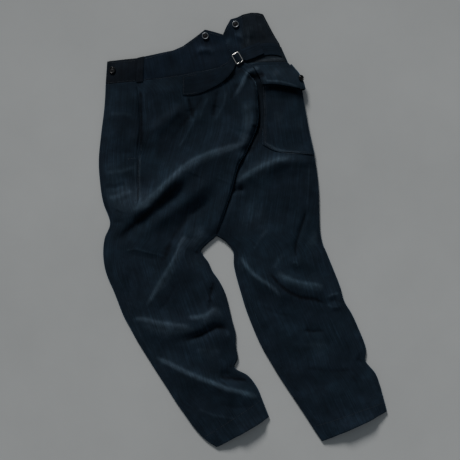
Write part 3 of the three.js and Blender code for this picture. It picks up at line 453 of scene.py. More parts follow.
class CorduroySettings(bpy.types.PropertyGroup):
    """Finish of the cloth."""

    colour: bpy.props.FloatVectorProperty(
        name="Cloth colour", description="Dark navy ground of the corduroy", subtype="COLOR",
        default=(0.0082, 0.0146, 0.0242), min=0, max=1,
    )
    nap: bpy.props.FloatVectorProperty(
        name="Nap colour", description="Blue-grey bloom of the nap", subtype="COLOR",
        default=(0.27, 0.42, 0.60), min=0, max=1,
    )
    wale: bpy.props.FloatProperty(
        name="Wale pitch", description="Distance from wale to wale", unit="LENGTH", default=0.0021,
        min=0.001, max=0.006,
    )
    spacing: bpy.props.FloatProperty(
        name="Mesh spacing", description="Distance between the points of a cloth shell, in millimetres",
        default=2.8, min=2, max=12,
    )


class HardwareSettings(bpy.types.PropertyGroup):
    """Sizes of the buttons and the buckle."""

    brace_radius: bpy.props.FloatProperty(
        name="Brace button radius", description="Outer radius of a brace button", unit="LENGTH",
        default=0.0083,
    )
    flap_radius: bpy.props.FloatProperty(
        name="Flap button radius", description="Outer radius of the flap's button", unit="LENGTH",
        default=0.0075,
    )
    metal: bpy.props.FloatVectorProperty(
        name="Buckle metal", description="Nickel of the buckle", subtype="COLOR", default=(0.66, 0.64, 0.60),
        min=0, max=1,
    )


class StageSettings(bpy.types.PropertyGroup):
    """Floor, light and camera."""

    floor: bpy.props.FloatVectorProperty(
        name="Floor colour", description="Pale floor", subtype="COLOR", default=(0.36, 0.37, 0.37),
        min=0, max=1,
    )
    daylight: bpy.props.FloatProperty(
        name="Daylight", description="Strength of the low daylight", default=3.4, min=0,
    )
    softness: bpy.props.FloatProperty(
        name="Softness", description="Apparent width of the daylight", unit="ROTATION",
        default=math.radians(15),
    )
    elevation: bpy.props.FloatProperty(
        name="Elevation", description="Height of the daylight over the floor", unit="ROTATION",
        default=math.radians(27),
    )
    azimuth: bpy.props.FloatProperty(
        name="Azimuth", description="Turn of the daylight to the left of the waist end", unit="ROTATION",
        default=math.radians(20),
    )
    room_light: bpy.props.FloatProperty(
        name="Room light", description="Strength of the even light all round", default=0.24, min=0,
    )
    camera_height: bpy.props.FloatProperty(
        name="Camera height", description="Height of the camera above the floor", unit="LENGTH", default=2.0,
    )
    view_width: bpy.props.FloatProperty(
        name="View width", description="Width of floor that the picture takes in", unit="LENGTH",
        default=1.15,
    )


def smooth(start, end, value):
    """Ease from 0 to 1 between start and end."""
    f = np.clip((value - start) / (end - start), 0, 1)
    return f * f * (3 - 2 * f)


def mix(a, b, f):
    """The value a share f of the way from a to b."""
    return a + (b - a) * f


def bump_of(distance, width):
    """A soft bump: 1 at no distance, and falling away over a width."""
    return np.exp(-((distance / width) ** 2))


def tapered(along, within, before=0):
    """Ease in and out at the ends of a line, from shares before and past them to shares within."""
    return smooth(-before, within, along) * smooth(1 + before, 1 - within, along)


def spline(values, v):
    """A smooth curve through the values of a table, read at rows v."""
    values = np.asarray(values, float)
    v = np.asarray(v, float)
    last = len(values) - 1
    k = np.clip(np.floor(v).astype(int), 0, last - 1)
    f = v - k
    a, b, c, d = (values[np.clip(k + step, 0, last)] for step in (-1, 0, 1, 2))
    if values.ndim > 1:
        f = f[..., None]
    return 0.5 * (2 * b + (c - a) * f + (2 * a - 5 * b + 4 * c - d) * f * f + (3 * b - 3 * c + d - a) * f**3)


class Half:
    """One half of the garment: its edges, seams and sag, row by row. Rows from -1 to 0 are the waistband."""

    def __init__(self, rows, inner, waist, tail, left):
        rows = np.array(rows, float)
        self.sides = rows[:, :2]
        self.seams = rows[:, 2]
        self.dips = rows[:, 3]
        self.inner = np.array(inner, float)
        self.waist = np.array(waist, float)
        self.tail = np.array(tail, float)
        self.left = left

    def side(self, v):
        """Plan places of the outer edge at rows v."""
        v = np.asarray(v, float)
        band = mix(self.sides[0], self.waist, -v[..., None])
        return np.where(v[..., None] < 0, band, spline(self.sides, np.maximum(v, 0)))

    def centre(self, v, seam, waist):
        """Plan places of a centre seam, and below the fork of the leg's inner edge."""
        v = np.asarray(v, float)
        seam = np.array(seam, float)
        band = mix(seam[0], np.array(waist, float), -v[..., None])
        body = spline(seam, np.clip(v, 0, FORK_ROW))
        leg = spline(self.inner, np.maximum(v - FORK_ROW, 0))
        w = v[..., None]
        return np.where(w < 0, band, np.where(w <= FORK_ROW, body, leg))

    def back(self, v):
        return self.centre(v, BACK_SEAM, WAIST_BACK_NOTCH)

    def front(self, v):
        return self.centre(v, FRONT_SEAM, WAIST_FRONT_SEAM)

    def seam(self, v):
        """How far in from the outer edge the side seam lies."""
        return spline(self.seams, np.maximum(v, 0))

    def side_outward(self, v):
        """Directions out of the garment at its outer edge."""
        along = self.side(np.minimum(v + EDGE_STEP, LAST_ROW)) - self.side(np.maximum(v - EDGE_STEP, -1))
        return turned(along, 1 if self.left else -1)

    def inner_outward(self, v):
        """Directions out of the leg at its inner edge, straight down at the fork."""
        start, end = np.maximum(v - EDGE_STEP, FORK_ROW), np.minimum(v + EDGE_STEP, LAST_ROW)
        out = turned(self.back(end) - self.back(start), -1 if self.left else 1)
        f = smooth(FORK_ROW, FORK_ROW + FORK_TURN, np.asarray(v, float))[..., None]
        out = mix(np.array([0.0, -1.0]), out, f)
        return out / np.linalg.norm(out, axis=-1, keepdims=True)

    def top_line(self, v, f):
        """Plan places on the upper line of row v, from the outer edge, f = 0, to the back seam, f = 1."""
        start, end = self.side(v), self.back(v)
        place = mix(start, end, np.asarray(f)[..., None])
        sag = spline(self.dips, max(v, 0)) * 4 * f * (1 - f)
        share = f if self.left else 1 - f
        rise = np.interp(share, self.tail[:, 0], self.tail[:, 1])
        place[..., 1] += -sag * (1 + min(v, 0)) + max(-v, 0) * rise
        return place

    def under_line(self, v, f):
        """Plan places on the underside of row v, from the outer edge to the front seam."""
        return mix(self.side(v), self.front(v), np.asarray(f)[..., None])

    def length(self, v, centre):
        """Distance in plan from the outer edge to a centre line."""
        return float(np.linalg.norm(self.side(v) - centre(v)))


def turned(along, sign):
    """Unit vectors square to a direction."""
    along = along / np.linalg.norm(along, axis=-1, keepdims=True)
    return np.stack([sign * along[..., 1], -sign * along[..., 0]], axis=-1)


LEFT = Half(LEFT_ROWS, LEFT_INNER, WAIST_LEFT, LEFT_TAIL, True)
RIGHT = Half(RIGHT_ROWS, RIGHT_INNER, WAIST_RIGHT, RIGHT_TAIL, False)


def nearest(chain, x, y):
    """Distance to a chain of points, share along it, and a value over 0 on the chain's waist side."""
    chain = np.asarray(chain, float)
    best = np.full(x.shape, np.inf)
    along = np.zeros(x.shape)
    over = np.zeros(x.shape)
    for k in range(len(chain) - 1):
        ax, ay = chain[k]
        dx, dy = chain[k + 1] - chain[k]
        f = np.clip(((x - ax) * dx + (y - ay) * dy) / (dx * dx + dy * dy), 0, 1)
        gap_x, gap_y = x - ax - dx * f, y - ay - dy * f
        distance = np.hypot(gap_x, gap_y)
        closer = distance < best
        best = np.where(closer, distance, best)
        along = np.where(closer, (k + f) / (len(chain) - 1), along)
        over = np.where(closer, gap_y + WAIST_LEAN * gap_x, over)
    return best, along, over


class Relief:
    """Heights of the upper layer and of the underside, worked out once over a fine plan grid."""

    STEP = 1.6
    LOW = (-372.0, -556.0)
    SIZE = (466, 695)

    def __init__(self):
        xs = self.LOW[0] + self.STEP * np.arange(self.SIZE[0])
        ys = self.LOW[1] + self.STEP * np.arange(self.SIZE[1])
        self.x, self.y = np.meshgrid(xs, ys, indexing="ij")
        body = np.arange(-1, LAST_ROW + EDGE_STEP / 2, EDGE_STEP)
        leg = np.arange(FORK_ROW, LAST_ROW + EDGE_STEP / 2, EDGE_STEP)
        right_edge = nearest(RIGHT.side(body), self.x, self.y)[0]
        edge = np.minimum(right_edge, nearest(LEFT.side(body), self.x, self.y)[0])
        for half in (LEFT, RIGHT):
            edge = np.minimum(edge, nearest(half.back(leg), self.x, self.y)[0])
        self.under = self.under_lift(right_edge)
        self.top = self.top_height(np.maximum(edge - FOLD_RADIUS, 0)) + self.under
        self.top_slope = np.gradient(self.top, self.STEP)
        # Painted highlight on crests and edges, and painted shade in hollows and shadows, over the same grid
        self.crest = self.painted_light(edge)
        self.under_slope = np.gradient(self.under, self.STEP)

    def under_lift(self, in_from):
        """How far the pocket and the flap lift the right edge off the floor."""
        reach = smooth(POCKET_UNDER + PASS_EASE[1], POCKET_UNDER + PASS_EASE[0], in_from)
        pocket, flap = (
            smooth(low, low_full, self.y) * smooth(high, high_full, self.y)
            for low, low_full, high_full, high in (POCKET_PASS, FLAP_PASS)
        )
        return reach * (POCKET_STACK * pocket + (FLAP_STACK - POCKET_STACK) * flap)

    def top_height(self, inside):
        """Height of the upper layer, from how far inside its folded edges a place lies."""
        calm = smooth(*WAIST_CALM, self.y)
        puff = PUFF * mix(WAIST_PUFF, 1, calm) * (1 - np.exp(-((inside / PUFF_REACH) ** PUFF_POWER)))
        folds = np.zeros(self.x.shape)
        for high, above, below, crest in FOLDS:
            distance, along, over = nearest(crest, self.x, self.y)
            folds += high * tapered(along, *FOLD_ENDS) * bump_of(distance, np.where(over > 0, above, below))
        for high, spread, line in CREASES:
            distance, along, _ = nearest(line, self.x, self.y)
            slope = np.exp(-np.sqrt((distance / spread) ** 2 + CREASE_BLUNT))
            folds += high * tapered(along, CREASE_ENDS) * slope
        raised = puff + (folds + self.rumple()) * smooth(0, FOLD_START, inside)
        kept = np.where(raised > 1, raised, np.exp(np.minimum(raised, 1) - 1))
        f = (self.x - WAIST_LEFT[0]) / (WAIST_RIGHT[0] - WAIST_LEFT[0])
        drop = TAIL_DROP * smooth(0, TAIL_REACH, self.y - mix(WAIST_LEFT[1], WAIST_RIGHT[1], f))
        kept_ease, drop_ease = (smooth(0, reach, inside) for reach in EDGE_EASE)
        return 2 * FOLD_RADIUS + kept * kept_ease - drop * drop_ease

    def rumple(self):
        """A soft unevenness of a few tenths of a millimetre, from waves in uneven directions."""
        rng = np.random.default_rng(WAVE_SEED)
        total = np.zeros(self.x.shape)
        for _ in range(WAVES):
            angle = rng.uniform(0, math.pi)
            wave = rng.uniform(*WAVE_LENGTHS)
            phase = rng.uniform(0, 2 * math.pi)
            bend = rng.uniform(*WAVE_BENDS)
            along = self.x * math.cos(angle) + self.y * math.sin(angle)
            across = -self.x * math.sin(angle) + self.y * math.cos(angle)
            swing = bend * np.sin(across / WAVE_TURN + phase)
            total += wave / WAVE_FLATNESS * np.sin(2 * math.pi * along / wave + phase + swing)
        return total

    def painted_light(self, edge):
        """Painted light and shade: 1 for a painted highlight on a crest, 0 for painted shade in a hollow or
        shadow, one half on even cloth.
        """
        total = np.zeros(self.x.shape)
        for high, spread, line in CREASES:
            distance, along, _ = nearest(line, self.x, self.y)
            light = min(high / HIGHLIGHT_FULL, HIGHLIGHT_MOST) * bump_of(distance, HIGHLIGHT_WIDTH[0] * spread + HIGHLIGHT_WIDTH[1])
            if high > HALO_FROM:
                light += HALO * bump_of(distance, HALO_WIDTH * spread)
            total += light * tapered(along, CREST_ENDS)
        for strength, width, line in PAINTED_LIGHT_LINES:
            distance, along, _ = nearest(line, self.x, self.y)
            total += strength * tapered(along, PAINTED_LINE_ENDS) * bump_of(distance, width)
        for strength, reach, x, y in PAINTED_LIGHT_PATCHES:
            total += strength * bump_of(np.hypot(self.x - x, self.y - y), reach)
        return 0.5 + 0.5 * np.clip(total * smooth(*PAINTED_LIGHT_EDGE, edge), -1, 1)

    def read(self, field, x, y):
        """Values of a field of the grid, read between its points."""
        u = np.clip((x - self.LOW[0]) / self.STEP, 0, self.SIZE[0] - 1.001)
        w = np.clip((y - self.LOW[1]) / self.STEP, 0, self.SIZE[1] - 1.001)
        i, j = u.astype(int), w.astype(int)
        f, g = u - i, w - j
        low = mix(field[i, j], field[i + 1, j], f)
        high = mix(field[i, j + 1], field[i + 1, j + 1], f)
        return mix(low, high, g)

    def height(self, x, y):
        return self.read(self.top, np.asarray(x, float), np.asarray(y, float))

    def on_top(self, x, y):
        """Points of the upper layer and their normals."""
        x, y = np.asarray(x, float), np.asarray(y, float)
        points = np.stack([x, y, self.read(self.top, x, y)], axis=-1)
        slopes = [self.read(slope, x, y) for slope in self.top_slope]
        normals = np.stack([-slopes[0], -slopes[1], np.ones(x.shape)], axis=-1)
        return points, normals / np.linalg.norm(normals, axis=-1, keepdims=True)

    def beneath(self, x, y):
        """Points of the underside and their normals."""
        points = np.stack([x, y, self.read(self.under, x, y)], axis=-1)
        slopes = [self.read(slope, x, y) for slope in self.under_slope]
        normals = np.stack([slopes[0], slopes[1], -np.ones(x.shape)], axis=-1)
        return points, normals / np.linalg.norm(normals, axis=-1, keepdims=True)


relief = Relief()


def on_top(half, v, f):
    """Points of row v on top, with the back crease and the side pocket's slit."""
    f = np.atleast_1d(f).astype(float)
    place = half.top_line(v, f)
    length = half.length(v, half.back)
    lift, shift = back_crease(half, v, (1 - f) * length)
    lift = lift + pocket_mouth(half, v, f * length)
    toward = (half.back(v) - half.side(v)) / length
    points, normals = relief.on_top(place[:, 0], place[:, 1])
    points[:, :2] += toward * shift[:, None]
    floor = relief.read(relief.under, points[:, 0], points[:, 1]) + TWO_LAYERS
    points[:, 2] = np.maximum(points[:, 2] + lift, floor)
    return points, normals


def back_crease(half, v, inside):
    """Lift and shift of places a given way in from the back seam, where the left side overhangs the right."""
    lip, depth = spline(BACK_CREASE, min(max(v, 0), FORK_ROW))
    if half.left:
        stands = lip * bump_of(np.maximum(inside - LIP_WIDTH, 0), LIP_REACH)
        lift = stands - (lip + depth) * (1 - smooth(0, LIP_WIDTH, inside))
        shift = OVERHANG * depth / DEEPEST * bump_of(inside - OVERHANG_AT, OVERHANG_WIDTH)
    else:
        lift = -depth * bump_of(inside, CREASE_WIDTH)
        shift = np.zeros(inside.shape)
    fade = smooth(*SEAM_CREASE_END, v) * smooth(*SEAM_CREASE_START, v)
    return lift * fade, shift * fade


def pocket_mouth(half, v, inside):
    """Lift of places near the left side seam, where the side pocket opens.

    The pocket's back edge stands over its front edge."""
    if not half.left:
        return 0.0
    past = inside - float(half.seam(v))
    before, within = MOUTH_EASE
    opened = smooth(MOUTH_FROM - before, MOUTH_FROM + within, v)
    opened *= smooth(MOUTH_TO + before, MOUTH_TO - within, v)
    stands = np.where(
        past > 0, MOUTH_LIP * bump_of(past, MOUTH_LIP_WIDTH), -MOUTH_DEPTH * bump_of(past, MOUTH_WIDTH),
    )
    return stands * opened


def beneath(half, v, f):
    """Points of row v on the underside."""
    place = half.under_line(v, np.atleast_1d(f).astype(float))
    return relief.beneath(place[:, 0], place[:, 1])


def on_fold(rim, out, angle):
    """Places on the round of a folded edge, from 90 degrees on top to -90 on the floor."""
    place = rim - out * (FOLD_RADIUS * (1 - np.cos(angle)))[:, None]
    lift = relief.read(relief.under, place[:, 0], place[:, 1])
    points = np.column_stack([place, lift + FOLD_RADIUS * (1 + np.sin(angle))])
    return points, np.column_stack([out * np.cos(angle)[:, None], np.sin(angle)])


def joined(parts):
    """One row of points and normals from several stretches."""
    return np.concatenate([part[0] for part in parts]), np.concatenate([part[1] for part in parts])


def by_part(e, on_edge, ways):
    """Places for surface lengths e: on the fold, on top and beneath, each worked out its own way."""
    points, normals = np.empty((len(e), 3)), np.empty((len(e), 3))
    for part, way in zip((on_edge, ~on_edge & (e >= 0), ~on_edge & (e < 0)), ways):
        if part.any():
            points[part], normals[part] = way(e[part])
    return points, normals


def near_side(half, v, e):
    """Places at a surface length e from the outer edge, on top where e > 0."""
    e = np.atleast_1d(e).astype(float)
    start = FOLD_RADIUS - ROUND
    return by_part(e, np.abs(e) <= ROUND + 1e-6, (
        lambda part: on_fold(half.side(v), half.side_outward(v), part / FOLD_RADIUS),
        lambda part: on_top(half, v, (start + part) / half.length(v, half.back)),
        lambda part: beneath(half, v, (start - part) / half.length(v, half.front)),
    ))


def near_centre(half, v, e):
    """Places at a surface length e from the centre seams or a leg's inner edge."""
    e = np.atleast_1d(e).astype(float)
    leg = v >= FORK_ROW
    start = FOLD_RADIUS - ROUND if leg else 0
    return by_part(e, leg & (np.abs(e) <= ROUND + 1e-6), (
        lambda part: on_fold(half.back(v), half.inner_outward(v), part / FOLD_RADIUS),
        lambda part: on_top(half, v, 1 - (start + part) / half.length(v, half.back)),
        lambda part: beneath(half, v, 1 - (start - part) / half.length(v, half.front)),
    ))


def centre_columns(v, body, fork, leg):
    """Places of a panel's columns near the centre, which turn from seam to folded edge at the fork."""
    if v < FORK_ROW:
        return mix(np.array(body), np.array(fork), smooth(FORK_ROW - FORK_BLEND, FORK_ROW, v))
    return mix(np.array(fork), np.array(leg), smooth(FORK_ROW, FORK_ROW + FORK_BLEND, v))


def inside(start, end, count):
    """Shares of a line between two of its places, both left out."""
    return np.linspace(start, end, count + 2)[1:-1]


# Columns of points: half the gap at a seam, the first column in from it, those that shape the lip over the
# back crease, and the places of the inside leg seams and the folded edges
HALF_GAP = SEAM_GAP / 2
EDGE_IN = 1.6
LIP_COLUMNS = (22, 19, 16, 13.5, 11, 9, 7, 5, EDGE_IN + 1.5)
UNDER_END = -(ROUND + LEFT_INSEAM_UNDER)
TOP_END = ROUND + RIGHT_INSEAM_TOP
ROUND_COLUMNS = np.linspace(ROUND, -ROUND, 9)
# Widths and lengths that the number of columns and rows comes from
LEFT_BACK_WIDTH = 262
LEFT_FRONT_WIDTH = 80
RIGHT_BACK_WIDTH = 220
BODY_LENGTH = 430
LEG_LENGTH = 560
BAND_HEIGHT = 75
BAND_GAP_ROWS = 0.006
# Columns on the underside, which lies flat and needs few
LEFT_FRONT_UNDER = 14
RIGHT_BACK_UNDER = 9
RIGHT_FRONT_UNDER = 22


def count_for(length, spacing):
    """How many points a length takes."""
    return max(int(round(length / spacing)), 3)


def back_left_row(v, spacing):
    """Row v of the left back: side seam, back seam, and round the inner edge."""
    ends = centre_columns(
        v,
        [*LIP_COLUMNS, EDGE_IN, HALF_GAP],
        np.linspace(ROUND, HALF_GAP, len(LIP_COLUMNS) + 2),
        [*ROUND_COLUMNS, (UNDER_END - ROUND) / 2, UNDER_END + HALF_GAP],
    )
    length = LEFT.length(v, LEFT.back)
    start = (float(LEFT.seam(v)) + HALF_GAP) / length
    step = EDGE_IN / length
    stop = 1 - ((FOLD_RADIUS + ends[0] - ROUND) if v >= FORK_ROW else ends[0]) / length
    across = [start, start + step, *inside(start + step, stop, count_for(LEFT_BACK_WIDTH, spacing))]
    return joined([on_top(LEFT, v, across), near_centre(LEFT, v, ends)])


def front_left_row(v, spacing):
    """Row v of the left front: side seam, round the left edge, to the front seam."""
    ends = centre_columns(
        v,
        [-12, -7, -HALF_GAP],
        [-(ROUND + 10), -ROUND, -HALF_GAP],
        [UNDER_END - 12, UNDER_END - 6, UNDER_END - HALF_GAP],
    )
    length = LEFT.length(v, LEFT.back)
    start = (float(LEFT.seam(v)) - HALF_GAP) / length
    step = EDGE_IN / length
    count = count_for(LEFT_FRONT_WIDTH, spacing)
    across = [start, start - step, *inside(start - step, FOLD_RADIUS / length, count)]
    span = LEFT.length(v, LEFT.front)
    stop = 1 - ((FOLD_RADIUS - ends[0] - ROUND) if v >= FORK_ROW else -ends[0]) / span
    under = inside(FOLD_RADIUS / span, stop, LEFT_FRONT_UNDER)
    return joined([
        on_top(LEFT, v, across), near_side(LEFT, v, ROUND_COLUMNS), beneath(LEFT, v, under),
        near_centre(LEFT, v, ends),
    ])


def back_right_row(v, spacing):
    """Row v of the right back: back seam, round the right edge, to the side seam."""
    ends = centre_columns(
        v,
        [HALF_GAP, EDGE_IN, 5, 9, 13],
        [HALF_GAP, ROUND / 3, ROUND * 0.7, ROUND, ROUND + 4],
        [TOP_END + HALF_GAP, TOP_END + EDGE_IN, TOP_END + 5, TOP_END + 9, TOP_END + 13],
    )
    length = RIGHT.length(v, RIGHT.back)
    stop = 1 - ((FOLD_RADIUS + ends[-1] - ROUND) if v >= FORK_ROW else ends[-1]) / length
    across = inside(stop, FOLD_RADIUS / length, count_for(RIGHT_BACK_WIDTH, spacing))
    end = float(RIGHT.seam(v)) - HALF_GAP
    under = -np.linspace(ROUND, end, RIGHT_BACK_UNDER)[1:]
    return joined([
        near_centre(RIGHT, v, ends), on_top(RIGHT, v, across), near_side(RIGHT, v, ROUND_COLUMNS),
        near_side(RIGHT, v, under),
    ])


def front_right_row(v, spacing):
    """Row v of the right front: side seam, front seam, and round the inner edge."""
    ends = centre_columns(
        v,
        [*np.linspace(-44, -5, 11), -HALF_GAP],
        np.linspace(-(ROUND + 12), -HALF_GAP, 12),
        [*ROUND_COLUMNS[::-1], ROUND + RIGHT_INSEAM_TOP / 2, TOP_END - EDGE_IN, TOP_END - HALF_GAP],
    )
    span = RIGHT.length(v, RIGHT.front)
    start = (FOLD_RADIUS + float(RIGHT.seam(v)) + HALF_GAP - ROUND) / span
    stop = 1 - ((FOLD_RADIUS - ends[0] - ROUND) if v >= FORK_ROW else -ends[0]) / span
    under = [start, *inside(start, stop, RIGHT_FRONT_UNDER)]
    return joined([beneath(RIGHT, v, under), near_centre(RIGHT, v, ends)])


def body_rows(spacing):
    """Rows from the waist seam to the hem, with one right at the fork."""
    body = np.arange(0, FORK_ROW, spacing / (BODY_LENGTH / FORK_ROW))
    leg = np.linspace(FORK_ROW, LAST_ROW, count_for(LEG_LENGTH, spacing) + 1)
    return np.concatenate([body, leg])


def shell(name, points, normals, thickness, material, tuck=SEAM_TUCK):
    """A closed wall of cloth from a grid of outer points, with its edges rounded inwards.

    The grain runs from row to row. tuck is how deep the first and last column are pulled in, row by row."""
    rows, columns = points.shape[:2]
    thickness = np.broadcast_to(np.asarray(thickness, float).reshape(-1, 1, 1), (rows, 1, 1))
    tuck = np.broadcast_to(np.asarray(tuck, float).reshape(-1, 1), (rows, 1))
    outer = points.copy()
    for column in (0, -1):
        outer[:, column] -= normals[:, column] * tuck
    for row in (0, -1):
        outer[row] -= normals[row] * END_TUCK
    inner = points - normals * thickness
    vertices = np.concatenate([outer.reshape(-1, 3), inner.reshape(-1, 3)]) * MM
    index = np.arange(rows * columns).reshape(rows, columns)
    below = index + rows * columns

    def quads(a, b, c, d):
        return np.stack([a.ravel(), b.ravel(), c.ravel(), d.ravel()], axis=1)

    faces = np.concatenate([
        quads(index[:-1, :-1], index[1:, :-1], index[1:, 1:], index[:-1, 1:]),
        quads(below[:-1, :-1], below[:-1, 1:], below[1:, 1:], below[1:, :-1]),
        quads(below[:-1, 0], below[1:, 0], index[1:, 0], index[:-1, 0]),
        quads(index[:-1, -1], index[1:, -1], below[1:, -1], below[:-1, -1]),
        quads(index[0, :-1], index[0, 1:], below[0, 1:], below[0, :-1]),
        quads(below[-1, :-1], below[-1, 1:], index[-1, 1:], index[-1, :-1]),
    ])
    # Painted highlight and painted shade from the relief, only on cloth that faces up
    painted_light = relief.read(relief.crest, points[..., 0], points[..., 1])
    painted_light = np.where(normals[..., 2] > FACING_UP, painted_light, 0.5).ravel()
    return mesh_object(name, vertices, faces, material, grain_of(points), np.concatenate([painted_light, painted_light]))


def grain_of(points):
    """Distance across and along the grain for each outer point, in metres."""
    across = np.linalg.norm(np.diff(points, axis=1), axis=2)
    across = np.concatenate([np.zeros((len(points), 1)), np.cumsum(across, axis=1)], axis=1)
    across -= across[:, [points.shape[1] // 2]]
    along = np.linalg.norm(np.diff(points, axis=0), axis=2)
    along = np.concatenate([np.zeros((1, points.shape[1])), np.cumsum(along, axis=0)], axis=0)
    return np.stack([across, along], axis=-1).reshape(-1, 2) * MM


def mesh_object(name, vertices, faces, material, grain, painted_light):
    mesh = bpy.data.meshes.new(name)
    mesh.from_pydata(vertices.tolist(), [], faces.tolist())
    layer = mesh.uv_layers.new(name="grain")
    corners = np.empty(len(mesh.loops), np.int64)
    mesh.loops.foreach_get("vertex_index", corners)
    layer.data.foreach_set("uv", grain[corners % len(grain)].astype(np.float32).ravel())
    # The crest attribute carries the painted highlight and painted shade
    crest = mesh.attributes.new("crest", "FLOAT", "POINT")
    crest.data.foreach_set("value", painted_light.astype(np.float32))
    work = bmesh.new()
    work.from_mesh(mesh)
    bmesh.ops.recalc_face_normals(work, faces=work.faces)
    if work.calc_volume(signed=True) < 0:
        bmesh.ops.reverse_faces(work, faces=work.faces)
    work.to_mesh(mesh)
    work.free()
    mesh.shade_smooth()
    mesh.set_sharp_from_angle(angle=SHARP_FROM)
    mesh.materials.append(material)
    piece = bpy.data.objects.new(name, mesh)
    bpy.context.scene.collection.objects.link(piece)
    return piece


def grid_of(rows, row_of):
    """Grids of points and normals, row by row."""
    found = [row_of(v) for v in rows]
    return np.array([points for points, _ in found]), np.array([normals for _, normals in found])


def place_piece(piece, slot, *nodes):
    """Set a piece on the body and hide the nodes that it stands for; slot, its finish, is not used."""
    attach(piece, BODY)
    if nodes:
        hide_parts(*nodes)
    return piece


class Nodes:
    """Short way to build a material's node tree."""

    def __init__(self, name):
        self.material = bpy.data.materials.new(name)
        self.material.use_nodes = True
        self.tree = self.material.node_tree
        self.tree.nodes.clear()
        self.output = self.add("ShaderNodeOutputMaterial")
        self.shader = self.add("ShaderNodeBsdfPrincipled")
        self.tree.links.new(self.shader.outputs["BSDF"], self.output.inputs["Surface"])

    def add(self, kind, **settings):
        node = self.tree.nodes.new(kind)
        for key, value in settings.items():
            setattr(node, key, value)
        return node

    def link(self, source, target):
        self.tree.links.new(source, target)

    def math(self, operation, a, b=0.0, c=0.0):
        node = self.add("ShaderNodeMath", operation=operation)
        for socket, value in zip(node.inputs, (a, b, c)):
            if isinstance(value, (int, float)):
                socket.default_value = value
            else:
                self.link(value, socket)
        return node.outputs[0]

    def noise(self, vector, scale, detail=3.0, roughness=0.55):
        node = self.add("ShaderNodeTexNoise")
        node.inputs["Scale"].default_value = scale
        node.inputs["Detail"].default_value = detail
        node.inputs["Roughness"].default_value = roughness
        self.link(vector, node.inputs["Vector"])
        return node.outputs["Fac"]

    def ramp(self, value, stops):
        node = self.add("ShaderNodeValToRGB")
        elements = node.color_ramp.elements
        while len(elements) < len(stops):
            elements.new(0.5)
        for element, (position, colour) in zip(elements, stops):
            element.position = position
            element.color = (*colour, 1)
        self.link(value, node.inputs["Fac"])
        return node.outputs["Color"]

    def times(self, a, b):
        node = self.add("ShaderNodeMix", data_type="RGBA", blend_type="MULTIPLY")
        node.inputs["Factor"].default_value = 1.0
        self.link(a, node.inputs["A"])
        self.link(b, node.inputs["B"])
        return node.outputs["Result"]

    def stretched(self, vector, scale):
        node = self.add("ShaderNodeMapping")
        node.inputs["Scale"].default_value = scale
        self.link(vector, node.inputs["Vector"])
        return node.outputs["Vector"]


def shade(colour, factor):
    """A colour made darker or lighter."""
    return tuple(min(channel * factor, 1) for channel in colour)


